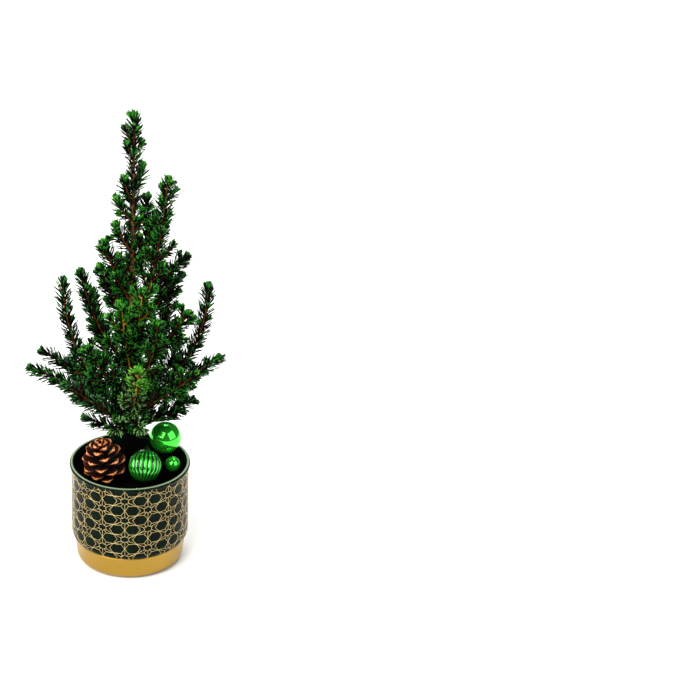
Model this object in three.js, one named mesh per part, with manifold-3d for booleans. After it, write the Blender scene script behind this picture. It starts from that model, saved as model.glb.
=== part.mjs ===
// A young dwarf alberta spruce standing in a straight glazed pot with a gold foot.
// Millimetres, +Z up. The origin is the centre of the pot's flat underside, and -Y faces the viewer.
// The trunk and each bough are tapering limbs. Each mass of foliage is one spray: a stem with side
// shoots that branch by a seeded rule, all of them set with spikes that stand for the needles.

import * as THREE from 'three';
import { mergeVertices } from 'three/addons/utils/BufferGeometryUtils.js';
import Module from 'manifold-3d';

const wasm = await Module();
wasm.setup();

// Clearance between neighbouring pieces that would touch.
const GAP = 0.3;

// Pot: a straight cylinder with a thin lip, stepping in to a gold foot.
const POT_SIDES = 32;
const RIM_HEIGHT = 102.5;
const RIM_RADIUS = 57.5;
const BODY_RADIUS = 56;
const LIP_THICKNESS = 4;
const LIP_HEIGHT = 3.4;
const WALL_RADIUS = 52.4;
const STEP_HEIGHT = 24;
const STEP_ROUND = 7.5;
const STEP_INSET = 4.4;
const FOOT_TOP_RADIUS = 53;
const FOOT_LOW_RADIUS = 51.2;
const FOOT_ROUND = 8.2;
const FOOT_WALL = 5;
const FOOT_FLOOR = 6;
const SOIL_HEIGHT = 93;
const GROUND = SOIL_HEIGHT + GAP;

// Trunk: from the soil to a tip inside the leader, with a slight bow and a flared base.
const TRUNK_TOP = 398;
const PLANT_TOP = 459;
const LEADER_STEPS = 8;
const LEADER_SEED = 31;
const TRUNK_SIDES = 8;
const TRUNK_RINGS = 15;
const TRUNK_TIP_RADIUS = 1.4;
const TRUNK_TAPER = 4.2;
const FLARE_RADIUS = 2.6;
const FLARE_HEIGHT = 7;
const TRUNK_BOW = 0.8;
const TRUNK_LEAN = 3.3;
const TRUNK_DEPTH = 2;

// Limbs: the bare part of each bough.
const LIMB_SIDES = 5;
const LIMB_RINGS = 4;
const LIMB_ROOT_RADIUS = 1.9;
const LIMB_TIP_RADIUS = 1.15;
const BOUGH_STEPS = 24;

// Needles: three spikes stand out of the stem at each tier, leaning forward.
const SPIKES = 3;
const TIER_PITCH = 10.5;
const TIER_LEAN = 9.5;
const STEM_RADIUS = 1.1;
const SHOOT_RADIUS = 0.9;
const NEEDLE_REACH = 8.4;
const TIP_LENGTH = 8;
const STEM_BARE = 2;
const SHOOT_BARE = 4;

// Branching: side shoots leave a stem in a spiral, fork forward and bend up.
const GOLDEN_TURN = 137.5;
const SHOOT_SPACING = 9;
const SHOOT_LONGEST = 44;
const SHOOT_SHORTEST = 13;
const SHOOT_LEAST = 8.5;
const SHOOT_SHARE = 0.46;
const TIP_PASS = 3;
const SHOOT_TRIANGLES = 62;
const SHOOT_STEPS = 5;
const FORK_LEAST = 28;
const FORK_MOST = 44;
const SHOOT_RISE = 0.16;
const BARE_START = 9;
const TRIANGLE_SHARE = 338;

// Each bough leaves the trunk at a height and a bearing in degrees, where 0 is the viewer's right
// and 90 is the back. It runs for a length while its slope goes from the first to the second angle.
// bare is the share of the length that is a naked limb; without it the spray grows from the trunk.
// bush scales the side shoots, which stay short on the outermost boughs.
const BOUGHS = [
  { name: 'left_low', height: 139, bearing: 186, length: 121, slope: [46, 24], bare: 0.26, bush: 0.45 },
  { name: 'left_low_back', height: 154, bearing: 173, length: 108, slope: [42, 28], bare: 0.28, bush: 0.45 },
  { name: 'left_tall', height: 147, bearing: 190, length: 172, slope: [44, 92], bare: 0.3, bush: 0.42 },
  { name: 'left_mid', height: 196, bearing: 172, length: 118, slope: [48, 84], bare: 0.22, bush: 0.5 },
  { name: 'left_inner', height: 234, bearing: 165, length: 77, slope: [61, 69], bush: 0.75 },
  { name: 'left_upper', height: 266, bearing: 188, length: 75, slope: [61, 75] },
  { name: 'left_high', height: 318, bearing: 208, length: 42, slope: [51, 76] },
  { name: 'left_top', height: 349, bearing: 184, length: 33, slope: [40, 87] },
  { name: 'right_top', height: 338, bearing: 346, length: 46, slope: [50, 98] },
  { name: 'right_high', height: 294, bearing: 0, length: 69, slope: [68, 79] },
  { name: 'second_leader', height: 220, bearing: 338, length: 186, slope: [73, 85], bare: 0.3, bush: 0.8 },
  { name: 'right_upper', height: 248, bearing: 10, length: 87, slope: [60, 41], bare: 0.26 },
  { name: 'right_mid', height: 232, bearing: 18, length: 80, slope: [50, 50], bare: 0.26 },
  { name: 'right_cluster', height: 188, bearing: 336, length: 104, slope: [50, 60], bare: 0.26 },
  { name: 'right_tall', height: 158, bearing: 5, length: 157, slope: [28, 95], bare: 0.3, bush: 0.42 },
  { name: 'right_out', height: 153, bearing: 349, length: 111, slope: [38, 39], bare: 0.28, bush: 0.75 },
  { name: 'right_wide', height: 149, bearing: 322, length: 108, slope: [40, 44], bare: 0.28 },
  { name: 'right_low', height: 132, bearing: 9, length: 72, slope: [27, 27] },
  { name: 'left_foot', height: 130, bearing: 178, length: 52, slope: [20, 25], bush: 0.6 },
  { name: 'left_front', height: 133, bearing: 214, length: 106, slope: [48, 40], bare: 0.28 },
  { name: 'left_rise', height: 163, bearing: 222, length: 98, slope: [48, 62] },
  { name: 'front_tall', height: 206, bearing: 284, length: 106, slope: [60, 73] },
  { name: 'front_mid', height: 195, bearing: 256, length: 96, slope: [56, 80] },
  { name: 'front_right', height: 172, bearing: 302, length: 111, slope: [46, 83], bare: 0.26 },
  { name: 'front_low', height: 152, bearing: 276, length: 110, slope: [36, 66], bush: 0.75 },
  { name: 'back_right', height: 162, bearing: 44, length: 132, slope: [44, 88], bare: 0.28, bush: 0.7 },
  { name: 'back', height: 184, bearing: 94, length: 124, slope: [48, 86], bare: 0.26 },
  { name: 'back_left', height: 161, bearing: 135, length: 122, slope: [42, 88], bare: 0.28, bush: 0.6 },
  { name: 'back_right_low', height: 139, bearing: 36, length: 96, slope: [44, 60] },
  { name: 'back_low', height: 134, bearing: 88, length: 98, slope: [30, 36] },
  { name: 'back_left_low', height: 136, bearing: 142, length: 96, slope: [32, 32] },
  { name: 'front_foot_left', height: 138, bearing: 251, length: 58, slope: [40, 2] },
  { name: 'front_foot_right', height: 143, bearing: 280, length: 60, slope: [36, 0] },
  { name: 'leader_left', height: 368, bearing: 215, length: 34, slope: [56, 88], bush: 0.4 },
  { name: 'leader_right', height: 376, bearing: 40, length: 34, slope: [56, 88], bush: 0.4 },
];

// Pine cone that lies on the soil, and three baubles on wires. toward is the way a cap points.
const CONE = {
  x: -21.5, y: -14, height: 45, radius: 22.5, tilt: 16, leans: 235, tiers: 7, scales: 7, foot: 1.5, crown: 7,
};
const BAUBLES = [
  { name: 'bauble_large', at: [33.6, 11.4, 120.8], radius: 15.5, toward: [-0.3, 0.35, -0.89], ribs: 0 },
  { name: 'bauble_ribbed', at: [14.1, -23.2, 108.9], radius: 15.4, toward: [0.1, 0.62, 0.78], ribs: 20 },
  { name: 'bauble_small', at: [40.4, -5.6, 100.9], radius: 7.4, toward: [-0.97, 0.17, 0.03], ribs: 0 },
];
const CAP_SHARE = 0.2;
const CAP_HEIGHT = 4;
const CAP_SIDES = 10;
const RIB_DEPTH = 0.7;
const WIRE_RADIUS = 0.8;
const WIRE_SIDES = 6;
const WIRE_BEND = 4;
const WIRE_ROOM = 6;
const WIRE_FOOT = 3;
const BALL_SIDES = 16;
const BALL_RINGS = 9;

// Block that takes away what lies below the soil's surface, wider than the pot.
const BLOCK_SIZE = 120;

const degrees = THREE.MathUtils.degToRad;
const vector = (x, y, z) => new THREE.Vector3(x, y, z);
const UP = vector(0, 0, 1);

// Seeded dice, so that the plant is the same each time it is grown.
function makeDice(seed) {
  let state = seed >>> 0;
  return function between(low, high) {
    state = (Math.imul(state, 1664525) + 1013904223) >>> 0;
    return low + (high - low) * (state / 4294967296);
  };
}

// Trunk axis: a slow bow to the right and back with a lean to the right, and its radius.
function trunkPoint(height) {
  const share = (height - GROUND) / (TRUNK_TOP - GROUND);
  const x = TRUNK_LEAN * Math.max(share, 0) ** 1.5 + TRUNK_BOW * Math.sin(Math.PI * share);
  return vector(x, TRUNK_DEPTH * Math.sin(2.2 * share), height);
}

function trunkRadius(height) {
  const share = Math.min(Math.max((height - GROUND) / (TRUNK_TOP - GROUND), 0), 1);
  const flare = FLARE_RADIUS * Math.exp(-Math.max(height - GROUND, 0) / FLARE_HEIGHT);
  return TRUNK_TIP_RADIUS + TRUNK_TAPER * (1 - share) ** 1.1 + flare;
}

// A path is a run of points; this gives the point and the direction at a distance along it.
function along(path, distance) {
  let left = Math.max(distance, 0);
  for (let i = 1; i < path.length; i += 1) {
    const step = path[i].distanceTo(path[i - 1]);
    if (left <= step || i === path.length - 1) {
      const point = path[i - 1].clone().lerp(path[i], left / step);
      return { point, forward: path[i].clone().sub(path[i - 1]).normalize() };
    }
    left -= step;
  }
  return null;
}

function pathLength(path) {
  let length = 0;
  for (let i = 1; i < path.length; i += 1) {
    length += path[i].distanceTo(path[i - 1]);
  }
  return length;
}

function cutPath(path, from, to, count) {
  const points = [];
  for (let i = 0; i <= count; i += 1) {
    points.push(along(path, from + (to - from) * i / count).point);
  }
  return points;
}

function boughPath(bough) {
  const path = [trunkPoint(bough.height)];
  for (let i = 0; i < BOUGH_STEPS; i += 1) {
    const share = (i + 0.5) / BOUGH_STEPS;
    const slope = degrees(bough.slope[0] + (bough.slope[1] - bough.slope[0]) * share);
    const turn = degrees(bough.bearing);
    const flat = Math.cos(slope);
    const heading = vector(flat * Math.cos(turn), flat * Math.sin(turn), Math.sin(slope));
    path.push(path[i].clone().addScaledVector(heading, bough.length / BOUGH_STEPS));
  }
  return path;
}

// Two directions square to a path at each of its points, carried along without twist.
function carryFrames(path) {
  const frames = [];
  let side = null;
  for (let i = 0; i < path.length; i += 1) {
    const before = path[Math.max(i - 1, 0)];
    const after = path[Math.min(i + 1, path.length - 1)];
    const forward = after.clone().sub(before).normalize();
    if (side === null) {
      side = Math.abs(forward.z) > 0.9 ? vector(1, 0, 0) : UP.clone();
    }
    side = side.clone().addScaledVector(forward, -side.dot(forward)).normalize();
    frames.push({ point: path[i], forward, side, other: forward.clone().cross(side) });
  }
  return frames;
}

function ringPoint(frame, radius, turn, ahead) {
  return frame.point.clone()
    .addScaledVector(frame.side, radius * Math.cos(turn))
    .addScaledVector(frame.other, radius * Math.sin(turn))
    .addScaledVector(frame.forward, ahead);
}

// A closed body is built as a list of points and a list of triangles.
class Body {
  constructor() {
    this.points = [];
    this.faces = [];
  }

  ring(frame, count, radiusAt, turnAt, aheadAt) {
    const first = this.points.length;
    for (let i = 0; i < count; i += 1) {
      this.points.push(ringPoint(frame, radiusAt(i), turnAt(i), aheadAt(i)));
    }
    return { first, count };
  }

  at(ring, i) {
    return ring.first + ((i % ring.count) + ring.count) % ring.count;
  }

  // Side wall between two rings of the same count.
  wall(low, high) {
    for (let i = 0; i < low.count; i += 1) {
      this.faces.push([this.at(low, i), this.at(low, i + 1), this.at(high, i + 1)]);
      this.faces.push([this.at(low, i), this.at(high, i + 1), this.at(high, i)]);
    }
  }

  // Flat end or point: a fan to one point.
  close(ring, point, ending) {
    const middle = this.points.push(point) - 1;
    for (let i = 0; i < ring.count; i += 1) {
      const pair = [this.at(ring, i), this.at(ring, i + 1)];
      this.faces.push(ending ? [...pair, middle] : [pair[1], pair[0], middle]);
    }
  }

  solid() {
    const vertProperties = new Float32Array(this.points.flatMap((point) => point.toArray()));
    const triVerts = new Uint32Array(this.faces.flat());
    return new wasm.Manifold(new wasm.Mesh({ numProp: 3, vertProperties, triVerts }));
  }
}

// Round limb: rings of one count carried along a path, with a radius for each share of its length.
function limbSolid(path, sides, radiusAt) {
  const body = new Body();
  const frames = carryFrames(path);
  let last = null;
  frames.forEach((frame, index) => {
    const radius = radiusAt(index / (frames.length - 1));
    const ring = body.ring(frame, sides, () => radius, (i) => 2 * Math.PI * i / sides, () => 0);
    if (last === null) {
      body.close(ring, frame.point.clone(), false);
    } else {
      body.wall(last, ring);
    }
    last = ring;
  });
  body.close(last, frames[frames.length - 1].point.clone(), true);
  return body.solid();
}

// Tier of spikes on a core: an outer ring whose even points are tips and whose odd points are dips
// on the core, and above it the next core ring, turned by half a spike.
function addTier(body, core, frame, nextFrame, tier) {
  const { count, turn, reach, slim, lean, dip } = tier;
  const spread = 2 * Math.PI / count;
  const crown = body.ring(
    frame,
    2 * count,
    (i) => (i % 2 === 0 ? reach : slim),
    (i) => turn + spread * i / 2,
    (i) => (i % 2 === 0 ? lean : dip),
  );
  const above = turn + spread / 2;
  const next = body.ring(nextFrame, count, () => tier.above, (i) => above + spread * i, () => 0);
  for (let i = 0; i < count; i += 1) {
    const tip = body.at(crown, 2 * i);
    const valley = body.at(crown, 2 * i + 1);
    const nextTip = body.at(crown, 2 * i + 2);
    const low = body.at(core, i);
    const lowNext = body.at(core, i + 1);
    const high = body.at(next, i);
    const highBefore = body.at(next, i - 1);
    body.faces.push([low, lowNext, valley], [low, valley, tip], [lowNext, nextTip, valley]);
    body.faces.push([tip, valley, high], [valley, nextTip, high], [tip, high, highBefore]);
  }
  return next;
}

// Spiked stem: a bare start, then tiers of forward leaning spikes on a slim core, then a bud.
function spikedSolid(path, spec) {
  const length = pathLength(path);
  const needled = length - spec.bare - TIP_LENGTH;
  const tiers = Math.max(1, Math.round(needled / TIER_PITCH));
  const pitch = needled / tiers;
  const stops = [0];
  for (let tier = 0; tier <= tiers; tier += 1) {
    stops.push(spec.bare + tier * pitch);
  }
  stops.push(length);
  const frames = carryFrames(stops.map((stop) => along(path, stop).point));
  const body = new Body();
  const coreRing = (frame) => (
    body.ring(frame, SPIKES, () => spec.core, (i) => spec.turn + 2 * Math.PI * i / SPIKES, () => 0));
  const foot = coreRing(frames[0]);
  body.close(foot, frames[0].point.clone(), false);
  let core = coreRing(frames[1]);
  body.wall(foot, core);
  for (let tier = 0; tier < tiers; tier += 1) {
    const share = tier / tiers;
    const slim = spec.core * (1 - 0.3 * share);
    core = addTier(body, core, frames[tier + 1], frames[tier + 2], {
      count: SPIKES,
      turn: spec.turn + tier * Math.PI / SPIKES,
      reach: spec.reach * (1 - 0.22 * share * share) * (tier === 0 ? 0.86 : 1),
      slim,
      above: slim,
      lean: TIER_LEAN * pitch / TIER_PITCH,
      dip: pitch * 0.4,
    });
  }
  body.close(core, frames[frames.length - 1].point.clone(), true);
  return body.solid();
}

// Side shoots of one stem. Each leaves the stem in a golden spiral, forks forward by an angle, bends
// up towards the light, is shorter towards the stem's tip, and ends just above that tip at most. Where
// it would be very short, the stem has none.
function sideShoots(stem, dice, bush) {
  const shoots = [];
  const length = pathLength(stem);
  const longest = Math.min(SHOOT_LONGEST, length * SHOOT_SHARE) * bush;
  let turn = dice(0, 360);
  let distance = BARE_START + dice(0, 4);
  while (distance < length - TIP_LENGTH) {
    turn += GOLDEN_TURN;
    const fork = degrees(dice(FORK_LEAST, FORK_MOST));
    const taper = 1 - 0.62 * distance / length;
    const wanted = longest * taper * dice(0.8, 1.15);
    const reach = Math.max(Math.min(wanted, length - distance + TIP_PASS), SHOOT_SHORTEST);
    const { point, forward } = along(stem, distance);
    const frame = carryFrames([point, point.clone().add(forward)])[0];
    const outward = frame.side.clone().multiplyScalar(Math.cos(degrees(turn)))
      .addScaledVector(frame.other, Math.sin(degrees(turn)));
    const heading = forward.clone().multiplyScalar(Math.cos(fork)).addScaledVector(outward, Math.sin(fork));
    const path = [point];
    for (let i = 0; i < SHOOT_STEPS; i += 1) {
      path.push(path[i].clone().addScaledVector(heading, reach / SHOOT_STEPS));
      heading.addScaledVector(UP, SHOOT_RISE).normalize();
    }
    const spikeTurn = degrees(dice(0, 120));
    if (wanted > SHOOT_LEAST) {
      shoots.push({ path, turn: spikeTurn });
    }
    distance += SHOOT_SPACING * dice(0.85, 1.15);
  }
  return shoots;
}

// Solids that stand already, each with its owner. A new shoot keeps clear of all but its own spray.
const standing = [];

function boxesMeet(a, b) {
  return [0, 1, 2].every((k) => a.min[k] < b.max[k] + GAP && b.min[k] < a.max[k] + GAP);
}

function stand(solid, owner) {
  standing.push({ solid, owner, box: solid.boundingBox() });
}

function isClear(solid, owner) {
  const box = solid.boundingBox();
  return standing.every((other) => (
    other.owner === owner || !boxesMeet(box, other.box) || solid.minGap(other.solid, 2 * GAP) > GAP));
}

// A closed three.js mesh from a solid. Sealed hollows and loose scraps are left out.
function meshOf(name, solid, color, roughness, metalness) {
  const parts = solid.decompose().sort((a, b) => b.volume() - a.volume());
  const result = parts[0].getMesh();
  const geometry = new THREE.BufferGeometry();
  const positions = new Float32Array(result.numVert * 3);
  for (let i = 0; i < result.numVert; i += 1) {
    positions.set(result.vertProperties.slice(i * result.numProp, i * result.numProp + 3), i * 3);
  }
  geometry.setAttribute('position', new THREE.BufferAttribute(positions, 3));
  geometry.setIndex(new THREE.BufferAttribute(new Uint32Array(result.triVerts), 1));
  geometry.computeVertexNormals();
  const mesh = new THREE.Mesh(geometry, new THREE.MeshStandardMaterial({ color, roughness, metalness }));
  mesh.name = name;
  return mesh;
}

// A solid from one of three.js's own closed geometries.
function solidOf(source) {
  const bare = source.clone();
  bare.deleteAttribute('normal');
  bare.deleteAttribute('uv');
  const merged = mergeVertices(bare, 1e-4);
  const vertProperties = new Float32Array(merged.attributes.position.array);
  const triVerts = new Uint32Array(merged.index.array);
  const mesh = new wasm.Mesh({ numProp: 3, vertProperties, triVerts });
  mesh.merge();
  return new wasm.Manifold(mesh);
}

// Lathe about the Z axis. The profile runs from the axis or closes on itself, and is given as
// radius and height pairs from the bottom outwards.
function turned(profile) {
  const points = profile.map(([radius, height]) => new THREE.Vector2(radius, height));
  const geometry = new THREE.LatheGeometry(points, POT_SIDES);
  geometry.rotateX(Math.PI / 2);
  return solidOf(geometry);
}

function arc(centreRadius, centreHeight, radius, from, to, count) {
  return Array.from({ length: count + 1 }, (_, i) => {
    const turn = degrees(from + (to - from) * i / count);
    return [centreRadius + radius * Math.cos(turn), centreHeight + radius * Math.sin(turn)];
  });
}

// Pine cone: tiers of scales round a fat core, leaning a little towards a bearing. It is open and as
// wide near its top as near its base, widest halfway.
function coneWidth(share) {
  return CONE.radius * Math.sin(Math.PI * (0.2 + 0.6 * share)) ** 0.6;
}

function makeCone() {
  const lean = degrees(CONE.tilt);
  const bearing = degrees(CONE.leans);
  const side = Math.sin(lean);
  const axis = vector(side * Math.cos(bearing), side * Math.sin(bearing), Math.cos(lean));
  const base = vector(CONE.x, CONE.y, GROUND);
  const body = new Body();
  const spine = Array.from({ length: CONE.tiers + 1 }, (_, i) => (
    base.clone().addScaledVector(axis, CONE.foot + (CONE.height - CONE.crown) * i / CONE.tiers)));
  const frames = carryFrames(spine);
  const spread = 2 * Math.PI / CONE.scales;
  let core = body.ring(frames[0], CONE.scales, () => CONE.radius * 0.4, (i) => spread * i, () => 0);
  body.close(core, frames[0].point.clone(), false);
  for (let tier = 0; tier < CONE.tiers; tier += 1) {
    const reach = coneWidth(tier / CONE.tiers);
    core = addTier(body, core, frames[tier], frames[tier + 1], {
      count: CONE.scales,
      turn: tier * spread / 2,
      reach,
      slim: reach * 0.6,
      above: tier === CONE.tiers - 1 ? 2 : coneWidth((tier + 1) / CONE.tiers) * 0.5,
      lean: 5,
      dip: 2.5,
    });
  }
  body.close(core, base.clone().addScaledVector(axis, CONE.height), true);
  return trimmedBelow(body.solid(), GROUND);
}

// Bauble: a ball, ribbed or plain, with a small cap, and a wire that leaves the cap and slants down
// beside the ball to the soil.
function makeBauble(bauble) {
  const centre = vector(...bauble.at);
  const toward = vector(...bauble.toward).normalize();
  const sides = bauble.ribs > 0 ? bauble.ribs * 2 : BALL_SIDES;
  const ball = new THREE.SphereGeometry(bauble.radius, sides, BALL_RINGS);
  if (bauble.ribs > 0) {
    const spots = ball.attributes.position;
    const spot = vector(0, 0, 0);
    for (let i = 0; i < spots.count; i += 1) {
      spot.fromBufferAttribute(spots, i);
      const turn = Math.atan2(spot.z, spot.x);
      const round = Math.hypot(spot.x, spot.z) / bauble.radius;
      const groove = 0.5 + 0.5 * Math.cos(turn * bauble.ribs);
      spot.multiplyScalar(1 - RIB_DEPTH / bauble.radius * round * groove);
      spots.setXYZ(i, spot.x, spot.y, spot.z);
    }
  }
  const facing = new THREE.Quaternion().setFromUnitVectors(vector(0, 1, 0), toward);
  ball.applyQuaternion(facing);
  ball.translate(centre.x, centre.y, centre.z);
  const capAt = centre.clone().addScaledVector(toward, bauble.radius + CAP_HEIGHT / 2 - 1.2);
  const capRadius = CAP_SHARE * bauble.radius;
  const cap = new THREE.CylinderGeometry(capRadius, capRadius, CAP_HEIGHT, CAP_SIDES);
  cap.rotateY(Math.PI / sides);
  cap.applyQuaternion(facing);
  cap.translate(capAt.x, capAt.y, capAt.z);
  const bend = capAt.clone().addScaledVector(toward, CAP_HEIGHT / 2 + 1.5);
  const aside = vector(toward.x, toward.y, 0).normalize();
  const knee = bend.clone().addScaledVector(aside, WIRE_BEND);
  const foot = centre.clone().addScaledVector(aside, bauble.radius + WIRE_ROOM).setZ(GROUND);
  const ankle = foot.clone().setZ(GROUND + WIRE_FOOT);
  const wire = limbSolid([capAt, bend, knee, ankle, foot], WIRE_SIDES, () => WIRE_RADIUS);
  return solidOf(ball).add(solidOf(cap)).add(wire);
}

const plant = new THREE.Group();
plant.name = 'potted_alberta_spruce';

// Glazed pot: a straight wall with a rolled lip, rounded in to the step above the foot.
function makePot() {
  const lip = LIP_THICKNESS / 2;
  const profile = [
    [WALL_RADIUS - FOOT_WALL + 3, STEP_HEIGHT],
    [BODY_RADIUS - STEP_INSET, STEP_HEIGHT],
    [BODY_RADIUS - STEP_INSET * 0.45, STEP_HEIGHT + STEP_ROUND * 0.3],
    [BODY_RADIUS - STEP_INSET * 0.12, STEP_HEIGHT + STEP_ROUND * 0.65],
    [BODY_RADIUS, STEP_HEIGHT + STEP_ROUND],
    [BODY_RADIUS, RIM_HEIGHT - LIP_HEIGHT - 1.4],
    [RIM_RADIUS - 0.3, RIM_HEIGHT - LIP_HEIGHT + 0.6],
    ...arc(RIM_RADIUS - lip, RIM_HEIGHT - lip, lip, 0, 180, 5),
    [WALL_RADIUS, RIM_HEIGHT - LIP_HEIGHT - 2],
    [WALL_RADIUS, STEP_HEIGHT + 6],
    [WALL_RADIUS - FOOT_WALL + 3, STEP_HEIGHT],
  ];
  return turned(profile);
}

// Gold foot: a shallow cup with a rounded lower edge and a flat underside.
function makeFoot() {
  const inside = FOOT_TOP_RADIUS - FOOT_WALL;
  const flat = FOOT_LOW_RADIUS - FOOT_ROUND;
  return turned([
    [0, 0],
    ...arc(flat, FOOT_ROUND, FOOT_ROUND, -90, 0, 5),
    [FOOT_TOP_RADIUS, STEP_HEIGHT - 0.8],
    [FOOT_TOP_RADIUS - 0.8, STEP_HEIGHT],
    [inside, STEP_HEIGHT],
    [inside - 3, FOOT_FLOOR + 4],
    [inside - 8, FOOT_FLOOR],
    [0, FOOT_FLOOR],
  ]);
}

// Soil that fills the pot up to just below the lip.
function makeSoil() {
  const inside = FOOT_TOP_RADIUS - FOOT_WALL;
  return turned([
    [0, FOOT_FLOOR + GAP],
    [inside - 9, FOOT_FLOOR + GAP],
    [inside - 3.8, FOOT_FLOOR + 4.6],
    [inside - 0.6, STEP_HEIGHT],
    [WALL_RADIUS - 0.8, STEP_HEIGHT + 6],
    [WALL_RADIUS - 0.6, SOIL_HEIGHT - 1.4],
    [WALL_RADIUS - 2.4, SOIL_HEIGHT],
    [0, SOIL_HEIGHT],
  ]);
}

function trunkSolid(extra, from, to) {
  const path = [];
  for (let i = 0; i < TRUNK_RINGS; i += 1) {
    const share = i / (TRUNK_RINGS - 1);
    path.push(trunkPoint(from + (to - from) * share ** 1.35));
  }
  const heightAt = (share) => from + (to - from) * share ** 1.35;
  return limbSolid(path, TRUNK_SIDES, (share) => trunkRadius(heightAt(share)) + extra);
}

// The first ring is square to the trunk's lean, so the foot is trimmed flat at the ground.
function trimmedBelow(solid, height) {
  const block = new THREE.BoxGeometry(BLOCK_SIZE, BLOCK_SIZE, BLOCK_SIZE);
  block.translate(0, 0, height - BLOCK_SIZE / 2);
  return solid.subtract(solidOf(block));
}

const trunk = trimmedBelow(trunkSolid(0, GROUND - 2, TRUNK_TOP), GROUND);
const trunkClearance = trunkSolid(GAP, GROUND - 20, TRUNK_TOP + GAP);
const trunkAxis = Array.from({ length: 40 }, (_, i) => trunkPoint(GROUND + (TRUNK_TOP - GROUND) * i / 39));

plant.add(meshOf('pot', makePot(), 0x22302a, 0.16, 0));
plant.add(meshOf('pot_foot', makeFoot(), 0xc8a04b, 0.34, 0.9));
plant.add(meshOf('soil', makeSoil(), 0x17130f, 0.95, 0));
plant.add(meshOf('trunk', trunk, 0x4a3524, 0.85, 0));

// The trunk, the decorations and every limb stand before any spray grows.
stand(trunk, 'trunk');
const cone = makeCone();
stand(cone, 'pine_cone');
plant.add(meshOf('pine_cone', cone, 0x7a4a2c, 0.7, 0));
for (const bauble of BAUBLES) {
  const ball = makeBauble(bauble);
  stand(ball, bauble.name);
  plant.add(meshOf(bauble.name, ball, 0x2f9a4e, 0.18, 0.9));
}

const grown = BOUGHS.map((bough, index) => {
  const whole = boughPath(bough);
  const bare = bough.bare === undefined ? 0 : bough.bare * bough.length;
  if (bare > 0) {
    const path = cutPath(whole, 0, bare, LIMB_RINGS);
    const radius = (share) => LIMB_ROOT_RADIUS + (LIMB_TIP_RADIUS - LIMB_ROOT_RADIUS) * share;
    const limb = limbSolid(path, LIMB_SIDES, radius).subtract(trunkClearance);
    plant.add(meshOf(`bough_${bough.name}`, limb, 0x5a4028, 0.85, 0));
    stand(limb, `bough_${bough.name}`);
  }
  const start = bare > 0 ? bare + GAP : 0;
  const stem = cutPath(whole, start, bough.length, BOUGH_STEPS);
  const dice = makeDice(977 * (index + 1));
  const spikeTurn = degrees(dice(0, 120));
  return { bough, bare, stem, spikeTurn, shoots: sideShoots(stem, dice, bough.bush ?? 1) };
});

// Leader: the topmost spray, whose stem carries on from the trunk's tip.
const leaderStem = Array.from({ length: LEADER_STEPS + 1 }, (_, i) => (
  trunkPoint(TRUNK_TOP + GAP + (PLANT_TOP - TRUNK_TOP - GAP) * i / LEADER_STEPS)));
grown.push({
  bough: { name: 'leader' },
  bare: 1,
  stem: leaderStem,
  spikeTurn: 0,
  shoots: sideShoots(leaderStem, makeDice(LEADER_SEED), 1),
});

// Distance along a stem from which its needles are clear of the trunk.
function bareFromTrunk(stem) {
  for (let distance = 2; distance < 40; distance += 1) {
    const { point } = along(stem, distance);
    const axis = trunkPoint(Math.min(point.z, TRUNK_TOP));
    const room = Math.hypot(point.x - axis.x, point.y - axis.y) - trunkRadius(point.z);
    if (room > NEEDLE_REACH * 0.86 + GAP) {
      return distance;
    }
  }
  return 40;
}

function shootSolid(shoot) {
  return spikedSolid(shoot.path, {
    core: SHOOT_RADIUS,
    reach: NEEDLE_REACH * 0.9,
    bare: SHOOT_BARE,
    turn: shoot.turn,
  });
}

// Every spray's stem grows first. Then each spray gets side shoots, spread evenly along the stem as
// far as its share of the triangles goes, and skips those that would touch another piece.
for (const spray of grown) {
  spray.main = spikedSolid(spray.stem, {
    core: STEM_RADIUS,
    reach: NEEDLE_REACH,
    bare: spray.bare > 0 ? STEM_BARE : bareFromTrunk(spray.stem),
    turn: spray.spikeTurn,
  });
  if (spray.bare === 0) {
    spray.main = spray.main.subtract(trunkClearance);
  }
  stand(spray.main, spray.bough.name);
}

for (const spray of grown) {
  const { bough, main } = spray;
  const clear = spray.shoots.map(shootSolid).filter((solid) => isClear(solid, bough.name));
  const room = Math.max(1, Math.floor((TRIANGLE_SHARE - main.numTri()) / SHOOT_TRIANGLES));
  const stride = Math.max(1, clear.length / room);
  const pieces = [main];
  for (let i = 0; i < clear.length; i += stride) {
    pieces.push(clear[Math.floor(i)]);
    stand(clear[Math.floor(i)], bough.name);
  }
  plant.add(meshOf(`foliage_${bough.name}`, wasm.Manifold.union(pieces), 0x3f6a3a, 0.6, 0));
}

export default plant;
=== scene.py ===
# Looks of a young dwarf alberta spruce in a glazed pot with a gold foot, with a pine cone and three
# baubles on its soil. Lengths are millimetres until a mesh is made. +Z is up and -Y faces the viewer.
import math

import bpy
import numpy as np
from mathutils import Matrix, Vector


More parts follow.
